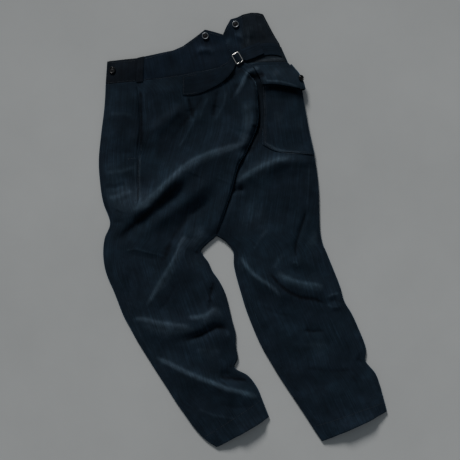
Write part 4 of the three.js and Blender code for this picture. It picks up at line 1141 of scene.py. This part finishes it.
def corduroy(name="navy corduroy", tint=(1, 1, 1), left_tint=None):
    """Fine-wale corduroy: ribs along the grain, a nap that blooms at a slant, soft streaks, and painted
    highlight and shade from the crest attribute.

    left_tint is the tint left of the back seam, where it differs."""
    settings = bpy.context.scene.corduroy
    found = bpy.data.materials.get(name)
    if found:
        return found
    nodes = Nodes(name)
    grain = nodes.add("ShaderNodeUVMap", uv_map="grain").outputs["UV"]
    split = nodes.add("ShaderNodeSeparateXYZ")
    nodes.link(grain, split.inputs[0])
    wave = nodes.math("SINE", nodes.math("MULTIPLY", split.outputs["X"], 2 * math.pi / settings.wale))
    rib = nodes.math("POWER", nodes.math("MULTIPLY_ADD", wave, 0.5, 0.5), WALE_SHAPE)
    streak = nodes.noise(nodes.stretched(grain, STREAK_GRAIN), 1.0, 4.0, 0.6)
    place = nodes.add("ShaderNodeTexCoord").outputs["Object"]
    bloom = nodes.noise(place, BLOOM_GRAIN, 4.0, 0.6)
    fluff = nodes.noise(nodes.stretched(grain, FLUFF_GRAIN), 1.0, 2.0, 0.5)
    # The part's tint lightens or darkens the ground, partly as painted light and shade
    colour = tuple(channel * share for channel, share in zip(settings.colour, tint))
    patches = nodes.math("MULTIPLY", bloom, 1 - STREAK_SHARE)
    tone = nodes.math("ADD", nodes.math("MULTIPLY", streak, STREAK_SHARE), patches)
    ground = nodes.ramp(tone, [(0.34, shade(colour, 0.58)), (0.51, colour), (0.68, shade(colour, 1.8))])
    dark = nodes.times(ground, nodes.ramp(rib, WALE_TONES))
    faded = nodes.times(dark, nodes.ramp(nodes.noise(place, HUE_GRAIN, 2.0), HUES))
    if left_tint:
        apart = nodes.add("ShaderNodeSeparateXYZ")
        nodes.link(place, apart.inputs[0])
        past = nodes.math("MULTIPLY_ADD", apart.outputs["X"], 1 / GREY_REACH, 0.5 - GREY_FROM / GREY_REACH)
        share = tuple(a / b for a, b in zip(left_tint, tint))
        faded = nodes.times(faded, nodes.ramp(past, [(0.0, share), (1.0, (1, 1, 1))]))
    # Painted highlight and painted shade: the crest attribute, made uneven by noise, lightens or darkens the
    # base colour
    crest = nodes.add("ShaderNodeAttribute", attribute_name="crest").outputs["Fac"]
    uneven = nodes.math("MULTIPLY_ADD", nodes.noise(place, CREST_GRAIN, 3.0), *CREST_UNEVEN)
    painted_light_level = nodes.math("MULTIPLY_ADD", nodes.math("SUBTRACT", crest, 0.5), uneven, 0.5)
    nodes.link(nodes.times(faded, nodes.ramp(painted_light_level, PAINTED_LIGHT_TONES)), nodes.shader.inputs["Base Color"])
    height = nodes.math("MULTIPLY_ADD", fluff, FLUFF_HEIGHT, rib)
    bump = nodes.add("ShaderNodeBump")
    bump.inputs["Strength"].default_value = 0.55
    bump.inputs["Distance"].default_value = 0.0005
    nodes.link(height, bump.inputs["Height"])
    nodes.link(bump.outputs["Normal"], nodes.shader.inputs["Normal"])
    nodes.shader.inputs["Roughness"].default_value = 0.92
    nodes.shader.inputs["Specular IOR Level"].default_value = 0.12
    nodes.shader.inputs["Sheen Weight"].default_value = 0.42
    nodes.shader.inputs["Sheen Roughness"].default_value = 0.36
    nodes.shader.inputs["Sheen Tint"].default_value = (*settings.nap, 1)
    return nodes.material


def tinted(part):
    """The same cloth on a part where the nap lies another way, greyer, and lighter or darker with painted
    light and shade.
    """
    return corduroy(f"navy corduroy {part}", TINTS[part], BLUE_END if part == "back right band" else None)


def thread(name, share):
    """Dull navy sewing thread, lighter or darker by a share."""
    nodes = Nodes(name)
    twist = nodes.noise(nodes.add("ShaderNodeTexCoord").outputs["Object"], TWIST_GRAIN, 2.0)
    tones = [(0.3, shade(THREAD_DARK, share)), (0.7, shade(THREAD_LIGHT, share))]
    nodes.link(nodes.ramp(twist, tones), nodes.shader.inputs["Base Color"])
    nodes.shader.inputs["Roughness"].default_value = 0.6
    return nodes.material


def worn_metal(name, colour, roughness, dark=False):
    """Plated metal with fine wear."""
    found = bpy.data.materials.get(name)
    if found:
        return found
    nodes = Nodes(name)
    place = nodes.add("ShaderNodeTexCoord").outputs["Object"]
    wear = nodes.noise(place, WEAR_GRAIN, 4.0)
    low = DARK_WEAR if dark else BRIGHT_WEAR
    tones = [(0.3, shade(colour, low)), (0.65, colour)]
    nodes.link(nodes.ramp(wear, tones), nodes.shader.inputs["Base Color"])
    rough = nodes.math("MULTIPLY_ADD", wear, WEAR_ROUGHNESS, roughness - 0.1)
    nodes.link(rough, nodes.shader.inputs["Roughness"])
    nodes.shader.inputs["Metallic"].default_value = 1.0
    bump = nodes.add("ShaderNodeBump")
    bump.inputs["Strength"].default_value = 0.2
    bump.inputs["Distance"].default_value = 0.0001
    nodes.link(wear, bump.inputs["Height"])
    nodes.link(bump.outputs["Normal"], nodes.shader.inputs["Normal"])
    return nodes.material


def pale_floor():
    """Plain pale floor with a faint mottle."""
    nodes = Nodes("pale floor")
    settings = bpy.context.scene.stage_setup
    place = nodes.add("ShaderNodeTexCoord").outputs["Object"]
    broad = nodes.noise(place, FLOOR_MOTTLE, 5.0, 0.6)
    tones = [(0.3, shade(settings.floor, 0.93)), (0.7, shade(settings.floor, 1.05))]
    nodes.link(nodes.ramp(broad, tones), nodes.shader.inputs["Base Color"])
    nodes.shader.inputs["Roughness"].default_value = 0.85
    nodes.shader.inputs["Specular IOR Level"].default_value = 0.2
    return nodes.material


def build_panel(name, row_of):
    """One leg panel from waist to hem, thicker where the hem is turned up."""
    spacing = bpy.context.scene.corduroy.spacing
    rows = body_rows(spacing)
    points, normals = grid_of(rows, lambda v: row_of(v, spacing))
    thickness = mix(CLOTH, HEM, smooth(HEM_ROW - HEM_EASE, HEM_ROW, rows))
    tuck = mix(SEAM_TUCK, LEG_SEAM_TUCK, smooth(FORK_ROW - 1, FORK_ROW + 0.5, rows))
    piece = shell(f"{name}_cloth", points, normals, thickness, corduroy(), tuck)
    place_piece(piece, "corduroy", name)


class TROUSERS_OT_panels(bpy.types.Operator):
    """Build the two fronts and the two backs"""

    bl_idname = "trousers.panels"
    bl_label = "Leg panels"

    def execute(self, context):
        build_panel("front_left_panel", front_left_row)
        build_panel("front_right_panel", front_right_row)
        build_panel("back_left_panel", back_left_row)
        build_panel("back_right_panel", back_right_row)
        return {"FINISHED"}


# Parts of the waistband: node, tint, its rows of points, and the rectangle that it is cut from in metres
BANDS = [
    ("waistband_front_left", "front band", front_left_row, (0.25, 0.07)),
    ("waistband_front_right", "front band", front_right_row, (0.25, 0.07)),
    ("waistband_back_left", "back left band", back_left_row, (0.26, 0.14)),
    ("waistband_back_right", "back right band", back_right_row, (0.26, 0.16)),
]


class TROUSERS_OT_waist(bpy.types.Operator):
    """Build the four parts of the waistband and the strip over the side seam"""

    bl_idname = "trousers.waist"
    bl_label = "Waistband"

    def execute(self, context):
        spacing = context.scene.corduroy.spacing
        rows = np.linspace(-BAND_GAP_ROWS, -1, count_for(BAND_HEIGHT, spacing))
        for name, part, row_of, flat in BANDS:
            points, normals = grid_of(rows, lambda v: row_of(v, spacing))
            piece = shell(f"{name}_cloth", points, normals, BAND, tinted(part))
            place_piece(piece, "corduroy", name)
        self.side_tab(spacing)
        return {"FINISHED"}

    def side_tab(self, spacing):
        rows = np.linspace(TAB_END, -1, count_for(TAB_HEIGHT, spacing * 0.7))

        def row_of(v):
            length = LEFT.length(v, LEFT.back)
            start = float(LEFT.seam(v)) + TAB_PAST_SEAM
            points, normals = on_top(LEFT, v, np.linspace(start, start + TAB_WIDTH, 7) / length)
            return points + normals * (CLOTH + PATCH_GAP), normals

        points, normals = grid_of(rows, row_of)
        piece = shell("side_tab_cloth", points, normals, CLOTH, tinted("front band"))
        place_piece(piece, "corduroy", "side_tab_left")


def pocket_start(v):
    """Share of the right half's upper line at which row v meets the pocket's left edge."""
    shares = np.linspace(1, 0.02, 400)
    place = RIGHT.top_line(v, shares)
    heights, lefts = np.array(POCKET_LEFT[::-1], float).T
    within = place[:, 0] >= np.interp(place[:, 1], heights, lefts)
    return float(shares[np.argmax(within)])


# Thickness of the pocket and the flap, with their gaps
UNDER_FLAP = 2 * PATCH_GAP + 2 * CLOTH


def flap_tilt(share):
    """How far the flap stands off the pocket, from its upper edge, 0, to its lower edge, 1."""
    return FLAP_TILT * smooth(FLAP_TILT_FROM, 1, share)


class TROUSERS_OT_pocket(bpy.types.Operator):
    """Build the patch pocket and its flap on the right"""

    bl_idname = "trousers.pocket"
    bl_label = "Back pocket and flap"

    def execute(self, context):
        spacing = context.scene.corduroy.spacing * 0.85
        self.pocket(spacing)
        self.flap(spacing)
        return {"FINISHED"}

    def pocket(self, spacing):
        under = -np.linspace(ROUND, ROUND + POCKET_UNDER, 12)[1:]

        def row_of(v):
            start = pocket_start(v)
            stop = FOLD_RADIUS / RIGHT.length(v, RIGHT.back)
            across = np.linspace(start, stop, count_for(POCKET_WIDTH, spacing))[:-1]
            points, normals = joined([
                on_top(RIGHT, v, across), near_side(RIGHT, v, ROUND_COLUMNS), near_side(RIGHT, v, under),
            ])
            return points + normals * (CLOTH + PATCH_GAP), normals

        points, normals = grid_of(np.linspace(*POCKET_ROWS, count_for(POCKET_HEIGHT, spacing)), row_of)
        piece = shell("back_pocket_cloth", points, normals, CLOTH, corduroy())
        place_piece(piece, "corduroy", "back_pocket")

    def flap(self, spacing):
        shares = np.linspace(0, 1, count_for(FLAP_HEIGHT, spacing * 0.8))
        over = np.linspace(FLAP_REACH, ROUND, count_for(FLAP_REACH - FOLD_RADIUS, spacing))[:-1]
        under = -np.linspace(ROUND, ROUND + POCKET_UNDER, 10)[1:]
        ends = np.concatenate([over, ROUND_COLUMNS, under])
        low_row = np.interp(ends, *zip(*FLAP_LOW_EDGE))

        def row_of(share):
            rows = mix(FLAP_ROW, low_row, share)
            points, normals = joined([near_side(RIGHT, v, [e]) for e, v in zip(ends, rows)])
            tilt = flap_tilt(share) * smooth(-0.1, 0.5, normals[:, 2:])
            return points + normals * (UNDER_FLAP + tilt), normals

        points, normals = grid_of(shares, row_of)
        piece = shell("pocket_flap_cloth", points, normals, CLOTH, tinted("flap"))
        place_piece(piece, "corduroy", "back_pocket_flap")


def strap_grid(sections):
    """Points of a strap through its sections, smoothly, on the relief below."""
    sections = np.array(sections, float)
    count = count_for(np.linalg.norm(np.diff(sections[:, :2], axis=0), axis=1).sum(), STRAP_SPACING)
    rows = spline(sections, np.linspace(0, len(sections) - 1, count + 1))
    f = np.linspace(0, 1, STRAP_COLUMNS)
    x = mix(rows[:, [0]], rows[:, [2]], f)
    y = mix(rows[:, [1]], rows[:, [3]], f)
    lift = mix(rows[:, [4]], rows[:, [5]], f)
    return np.stack([x, y, relief.height(x, y) + lift], axis=-1)


def grid_normals(points):
    """Directions out of a grid of points, upwards."""
    along = np.gradient(points, axis=0)
    across = np.gradient(points, axis=1)
    normals = np.cross(along, across)
    normals *= np.sign(normals[..., 2:])
    return normals / np.linalg.norm(normals, axis=-1, keepdims=True)


def in_buckle(u, w):
    """Plan place in the buckle, from its middle: u along the strap, w across it."""
    return (
        BUCKLE_AT[0] + u * math.cos(BUCKLE_TURN) - w * math.sin(BUCKLE_TURN),
        BUCKLE_AT[1] + u * math.sin(BUCKLE_TURN) + w * math.cos(BUCKLE_TURN),
    )


def through_buckle():
    """The strap's points where it rises over the middle bar of the frame."""
    base = float(relief.height(*BUCKLE_AT))
    low = BUCKLE_HEIGHT - PATCH_GAP - CLOTH
    high = BUCKLE_HEIGHT + BUCKLE_WIRE + PATCH_GAP
    outer = BUCKLE_WIDTH / 2 + PAST_FRAME
    inner = BUCKLE_WIDTH / 2 - BUCKLE_WIRE + FRAME_CLEAR
    bar = BUCKLE_WIRE / 2 + BAR_CLEAR
    stops = [-outer, -inner, -bar, bar, inner, outer]
    u = np.linspace(-outer, outer, BUCKLE_ROWS)
    lift = np.interp(u, stops, [low, low, high, high, low, low])
    lift = np.convolve(np.pad(lift, 2, mode="edge"), [0.1, 0.2, 0.4, 0.2, 0.1], mode="valid")
    rows = []
    for along, height in zip(u, lift):
        w = np.linspace(STRAP_NARROW / 2, -STRAP_NARROW / 2, STRAP_COLUMNS)
        x, y = in_buckle(along, w)
        rows.append(np.stack([x, y, np.full(STRAP_COLUMNS, base + height)], axis=-1))
    return np.array(rows)


class TROUSERS_OT_straps(bpy.types.Operator):
    """Build the two halves of the cinch strap"""

    bl_idname = "trousers.straps"
    bl_label = "Cinch straps"

    def execute(self, context):
        points = np.concatenate([strap_grid(STRAP_SECTIONS), through_buckle(), strap_grid(TAIL_SECTIONS)])
        self.strap("cinch_strap_left", points, LONG_STRAP_CUT)
        self.strap("cinch_strap_right", strap_grid(SHORT_STRAP_SECTIONS), SHORT_STRAP_CUT)
        return {"FINISHED"}

    def strap(self, name, points, flat):
        normals = grid_normals(points)
        piece = shell(f"{name}_cloth", points + normals * CLOTH, normals, CLOTH, tinted("strap"))
        place_piece(piece, "corduroy", name)


def tube(points, radius, sides=10, closed=False):
    """Vertices and faces of a round wire along points."""
    points = np.asarray(points, float)
    ahead = np.roll(points, -1, axis=0) - points
    behind = points - np.roll(points, 1, axis=0)
    if not closed:
        ahead[-1], behind[0] = behind[-1], ahead[0]
    along = ahead + behind
    along /= np.linalg.norm(along, axis=1, keepdims=True)
    up = np.array([0.0, 0.0, 1.0])
    side = np.cross(along, up)
    side /= np.linalg.norm(side, axis=1, keepdims=True)
    top = np.cross(side, along)
    angles = np.linspace(0, 2 * math.pi, sides, endpoint=False)
    ring = side[:, None] * np.cos(angles)[None, :, None] + top[:, None] * np.sin(angles)[None, :, None]
    vertices = (points[:, None] + ring * radius).reshape(-1, 3)
    count = len(points)
    faces = []
    for i in range(count if closed else count - 1):
        for j in range(sides):
            a, b = i * sides + j, i * sides + (j + 1) % sides
            c, d = ((i + 1) % count) * sides + (j + 1) % sides, ((i + 1) % count) * sides + j
            faces.append((a, b, c, d))
    if not closed:
        faces.append(tuple(range(sides - 1, -1, -1)))
        faces.append(tuple(range((count - 1) * sides, count * sides)))
    return vertices, faces


def mesh_from(name, parts, material):
    """One object from several lists of vertices and faces, in millimetres."""
    vertices, faces = [], []
    for part_vertices, part_faces in parts:
        start = len(vertices)
        vertices.extend(part_vertices.tolist())
        faces.extend(tuple(index + start for index in face) for face in part_faces)
    mesh = bpy.data.meshes.new(name)
    mesh.from_pydata((np.array(vertices) * MM).tolist(), [], faces)
    work = bmesh.new()
    work.from_mesh(mesh)
    bmesh.ops.recalc_face_normals(work, faces=work.faces)
    work.to_mesh(mesh)
    work.free()
    mesh.shade_smooth()
    mesh.materials.append(material)
    piece = bpy.data.objects.new(name, mesh)
    bpy.context.scene.collection.objects.link(piece)
    return piece


def turned_profile(profile, place, normal, sides=40):
    """Vertices and faces of a profile of radius and height turned about a normal."""
    normal = np.asarray(normal, float)
    first = np.cross(normal, (0.0, 1.0, 0.0))
    first /= np.linalg.norm(first)
    second = np.cross(normal, first)
    angles = np.linspace(0, 2 * math.pi, sides, endpoint=False)
    rings = []
    for radius, height in profile:
        ring = np.cos(angles)[:, None] * first + np.sin(angles)[:, None] * second
        rings.append(np.asarray(place) + ring * radius + normal * height)
    vertices = np.concatenate(rings)
    faces = []
    for i in range(len(profile) - 1):
        for j in range(sides):
            a, b = i * sides + j, i * sides + (j + 1) % sides
            faces.append((a, b, b + sides, a + sides))
    faces.append(tuple(range(sides - 1, -1, -1)))
    faces.append(tuple(range((len(profile) - 1) * sides, len(profile) * sides)))
    return vertices, faces


# Brace buttons: node, and its place in plan
BRACE_BUTTONS = [
    ("brace_button_back_left", (-94, 483)),
    ("brace_button_back_right", (-19, 512)),
    ("brace_button_front_left", (-325, 397)),
]
# A pressed button: radius of its stem, height of its back, its rim as inset and height, its middle as
# radius and height, the width of its rim, its height over the cloth, and its colours
BUTTON_STEM = 4.2
BUTTON_BACK = 0.6
BUTTON_RIM = [
    (0.8, 0.6), (0.2, 0.9), (0, 1.5), (0, 2.5), (0.25, 3.0), (0.8, 3.35), (1.4, 3.35), (1.9, 3.0), (2.3, 2.2),
    (3.0, 1.9), (4.0, 1.9),
]
BUTTON_MIDDLE = [(2.6, 2.2), (1.2, 2.5), (0.4, 2.55)]
BUTTON_RIM_WIDTH = 1.8
BUTTON_LIFT = 0.5
BUTTON_GREY = (0.27, 0.29, 0.31)
BUTTON_HOLLOW = (0.03, 0.03, 0.032)
BUTTON_BLACK = (0.05, 0.05, 0.05)


class TROUSERS_OT_hardware(bpy.types.Operator):
    """Build the buckle, the brace buttons and the flap's button"""

    bl_idname = "trousers.hardware"
    bl_label = "Buckle and buttons"

    def execute(self, context):
        settings = context.scene.hardware
        self.buckle(worn_metal("nickel", tuple(settings.metal), 0.28))
        bright = worn_metal("button rim", BUTTON_GREY, 0.42, dark=True)
        dark = worn_metal("button hollow", BUTTON_HOLLOW, 0.5, dark=True)
        black = worn_metal("blackened rim", BUTTON_BLACK, 0.22, dark=True)
        radius = settings.brace_radius / MM
        for name, at in BRACE_BUTTONS:
            point, normal = relief.on_top(*at)
            rim = black if name.endswith("front_left") else bright
            self.button(name, radius, point, normal, BUTTON_LIFT, rim, dark)
        point, normal = near_side(RIGHT, FLAP_BUTTON_ROW, [FLAP_BUTTON_IN])
        stack = UNDER_FLAP + float(flap_tilt((FLAP_BUTTON_ROW - FLAP_ROW) / FLAP_ROWS_THERE))
        self.button("flap_button", settings.flap_radius / MM, point[0], normal[0], stack, black, dark)
        return {"FINISHED"}

    def buckle(self, metal):
        base = float(relief.height(*BUCKLE_AT)) + BUCKLE_HEIGHT + BUCKLE_WIRE / 2
        half_x = BUCKLE_WIDTH / 2 - BUCKLE_WIRE / 2
        half_y = BUCKLE_LENGTH / 2 - BUCKLE_WIRE / 2
        corner = BUCKLE_CORNER
        frame_points = []
        for quarter, (sx, sy) in enumerate(((1, 1), (-1, 1), (-1, -1), (1, -1))):
            for part in range(7):
                angle = (quarter + part / 6) * math.pi / 2
                u = sx * (half_x - corner) + corner * math.cos(angle)
                w = sy * (half_y - corner) + corner * math.sin(angle)
                frame_points.append((*in_buckle(u, w), base))
        bar = [(*in_buckle(0, w), base) for w in np.linspace(-half_y, half_y, 9)]
        parts = [tube(frame_points, BUCKLE_WIRE / 2, 12, closed=True), tube(bar, BUCKLE_WIRE / 2 - 0.1, 10)]
        place_piece(mesh_from("buckle_frame", parts, metal), "buckle_metal", "buckle")

    def button(self, name, radius, point, normal, lift, bright, dark):
        profile = [(0.4, 0), (BUTTON_STEM, 0), (BUTTON_STEM, BUTTON_BACK)]
        profile += [(radius - inset, height) for inset, height in BUTTON_RIM]
        profile += BUTTON_MIDDLE
        vertices, faces = turned_profile(profile, point + normal * lift, normal)
        piece = mesh_from(f"{name}_pressed", [(vertices, faces)], bright)
        piece.data.materials.append(dark)
        centre = np.asarray(point + normal * lift)
        for face in piece.data.polygons:
            away = np.array(face.center) / MM - centre
            height = float(away @ normal)
            out = float(np.linalg.norm(away - height * normal))
            face.material_index = 1 if out < radius - BUTTON_RIM_WIDTH and height > 1 else 0
        place_piece(piece, "button_metal", name)


# Lines of topstitching seen from above: name, lines, distance of a second row (0 for one row)
STITCH_LINES = {
    "waist_stitching": [
        ([(-339, 366), (-300, 368), (-268, 371)], 0),
        ([(-337, 416), (-300, 418), (-268, 421)], 0),
        ([(-246, 373), (-200, 377), (-162, 382)], 0),
        ([(-246, 424), (-200, 437), (-150, 453), (-128, 469), (-97, 495), (-78, 489), (-54, 482)], 0),
        ([(-46, 490), (-28, 520), (-12, 526), (8, 534), (34, 536), (48, 532), (72, 487), (90, 456)], 0),
        ([(-160, 382), (-116, 392), (-86, 396), (-58, 404), (-36, 418)], 0),
        ([(14, 419), (50, 420), (106, 420)], 4),
    ],
    "side_stitching": [
        ([(-259, 348), (-255, 320), (-253, 260), (-253, 196)], 0),
        ([(-257, 186), (-260, 130), (-262, 72)], 3),
        ([(-285, 177), (-264, 178)], 0),
        ([(-285, 177), (-284, 172)], 0),
    ],
    "pocket_stitching": [
        ([(51, 360), (53, 300), (52, 214), (70, 203), (91, 193), (113, 190), (160, 189), (172, 190)], 4),
    ],
    "strap_stitching": [
        ([(-115, 385), (-133, 382), (-147, 379), (-147, 338), (-133, 337), (-114, 341)], 0),
    ],
}
STITCH_PITCH = 3.1
STITCH_LENGTH = 2.3
STITCH_RADIUS = 0.3
STITCH_LIFT = 0.15
STITCH_DIP = 0.3
STITCH_LIFTS = {"pocket_stitching": CLOTH + PATCH_GAP + STITCH_LIFT, "strap_stitching": CLOTH + 0.7}
# Shares of the way across a leg between which its hem is sewn
HEM_STITCHED = (0.03, 0.97)


def stitches_along(route, lift, second=0.0):
    """Short stitches set along a line on top of the cloth, with a second row beside it where asked."""
    route = np.array(route, float)
    spans = np.linalg.norm(np.diff(route, axis=0), axis=1)
    marks = np.concatenate([[0], np.cumsum(spans)])
    parts = []
    for offset in ([0.0, second] if second else [0.0]):
        for start in np.arange(2 * STITCH_RADIUS, marks[-1] - STITCH_LENGTH, STITCH_PITCH):
            ends = []
            for share, dip in ((0, STITCH_DIP), (0.5, 0), (1, STITCH_DIP)):
                mark = start + share * STITCH_LENGTH
                x, y = (np.interp(mark, marks, route[:, axis]) for axis in (0, 1))
                k = min(np.searchsorted(marks, mark, side="right") - 1, len(spans) - 1)
                along = (route[k + 1] - route[k]) / spans[k]
                x, y = x - along[1] * offset, y + along[0] * offset
                ends.append((x, y, float(relief.height(x, y)) + lift - dip))
            parts.append(tube(ends, STITCH_RADIUS, 5))
    return parts


class TROUSERS_OT_stitching(bpy.types.Operator):
    """Sew the visible topstitching and the hems"""

    bl_idname = "trousers.stitching"
    bl_label = "Topstitching"

    def execute(self, context):
        material = thread("navy thread", 1)
        for name, lines in STITCH_LINES.items():
            lift = STITCH_LIFTS.get(name, STITCH_LIFT)
            parts = [part for line, second in lines for part in stitches_along(line, lift, second)]
            place_piece(mesh_from(name, parts, material), "corduroy")
        parts = []
        for half in (LEFT, RIGHT):
            parts += stitches_along(half.top_line(HEM_ROW, np.linspace(*HEM_STITCHED, 30)), STITCH_LIFT)
        place_piece(mesh_from("hem_stitching", parts, thread("dark thread", 0.45)), "corduroy")
        return {"FINISHED"}


# Reach of the floor and place of the picture's middle in metres, and the camera's sensor in millimetres
FLOOR_REACH = 6.0
CAMERA_X = -0.0325
SENSOR_WIDTH = 36


class TROUSERS_OT_stage(bpy.types.Operator):
    """Lay the floor and set the light and the camera"""

    bl_idname = "trousers.stage"
    bl_label = "Stage"

    def execute(self, context):
        settings = context.scene.stage_setup
        mesh = bpy.data.meshes.new("floor")
        corners = [(x * FLOOR_REACH, y * FLOOR_REACH, 0) for x, y in ((-1, -1), (1, -1), (1, 1), (-1, 1))]
        mesh.from_pydata(corners, [], [(0, 1, 2, 3)])
        mesh.materials.append(pale_floor())
        floor = bpy.data.objects.new("floor", mesh)
        context.scene.collection.objects.link(floor)
        self.daylight(settings)
        world = bpy.data.worlds.new("room")
        world.use_nodes = True
        background = world.node_tree.nodes["Background"]
        background.inputs["Color"].default_value = (0.86, 0.93, 1.0, 1)
        background.inputs["Strength"].default_value = settings.room_light
        context.scene.world = world
        camera = bpy.data.cameras.new("camera")
        camera.sensor_width = SENSOR_WIDTH
        camera.lens = SENSOR_WIDTH * settings.camera_height / settings.view_width
        holder = bpy.data.objects.new("camera", camera)
        holder.location = (CAMERA_X, 0.0, settings.camera_height)
        context.scene.collection.objects.link(holder)
        context.scene.camera = holder
        return {"FINISHED"}

    def daylight(self, settings):
        """Low, soft daylight from beyond the waist, a little from the left."""
        lamp = bpy.data.lights.new("daylight", "SUN")
        lamp.energy = settings.daylight
        lamp.angle = settings.softness
        lamp.color = (1.0, 0.985, 0.96)
        holder = bpy.data.objects.new("daylight", lamp)
        holder.rotation_euler = (math.pi / 2 - settings.elevation, 0, math.pi + settings.azimuth)
        bpy.context.scene.collection.objects.link(holder)


class TROUSERS_PT_panel(bpy.types.Panel):
    """Lists the steps that build the trousers"""

    bl_label = "Trousers"
    bl_idname = "TROUSERS_PT_panel"
    bl_space_type = "VIEW_3D"
    bl_region_type = "UI"
    bl_category = "Trousers"

    def draw(self, context):
        for step in STEPS:
            self.layout.operator(step.bl_idname)


SETTINGS = {"corduroy": CorduroySettings, "hardware": HardwareSettings, "stage_setup": StageSettings}
STEPS = (
    TROUSERS_OT_stage,
    TROUSERS_OT_panels,
    TROUSERS_OT_waist,
    TROUSERS_OT_pocket,
    TROUSERS_OT_straps,
    TROUSERS_OT_hardware,
    TROUSERS_OT_stitching,
)


def register():
    for name, group in SETTINGS.items():
        bpy.utils.register_class(group)
        setattr(bpy.types.Scene, name, bpy.props.PointerProperty(type=group))
    for step in STEPS:
        bpy.utils.register_class(step)
    bpy.utils.register_class(TROUSERS_PT_panel)


def unregister():
    bpy.utils.unregister_class(TROUSERS_PT_panel)
    for step in reversed(STEPS):
        bpy.utils.unregister_class(step)
    for name, group in SETTINGS.items():
        delattr(bpy.types.Scene, name)
        bpy.utils.unregister_class(group)


def main():
    register()
    bpy.ops.trousers.stage()
    bpy.ops.trousers.panels()
    bpy.ops.trousers.waist()
    bpy.ops.trousers.pocket()
    bpy.ops.trousers.straps()
    bpy.ops.trousers.hardware()
    bpy.ops.trousers.stitching()


if __name__ == "__main__":
    main()
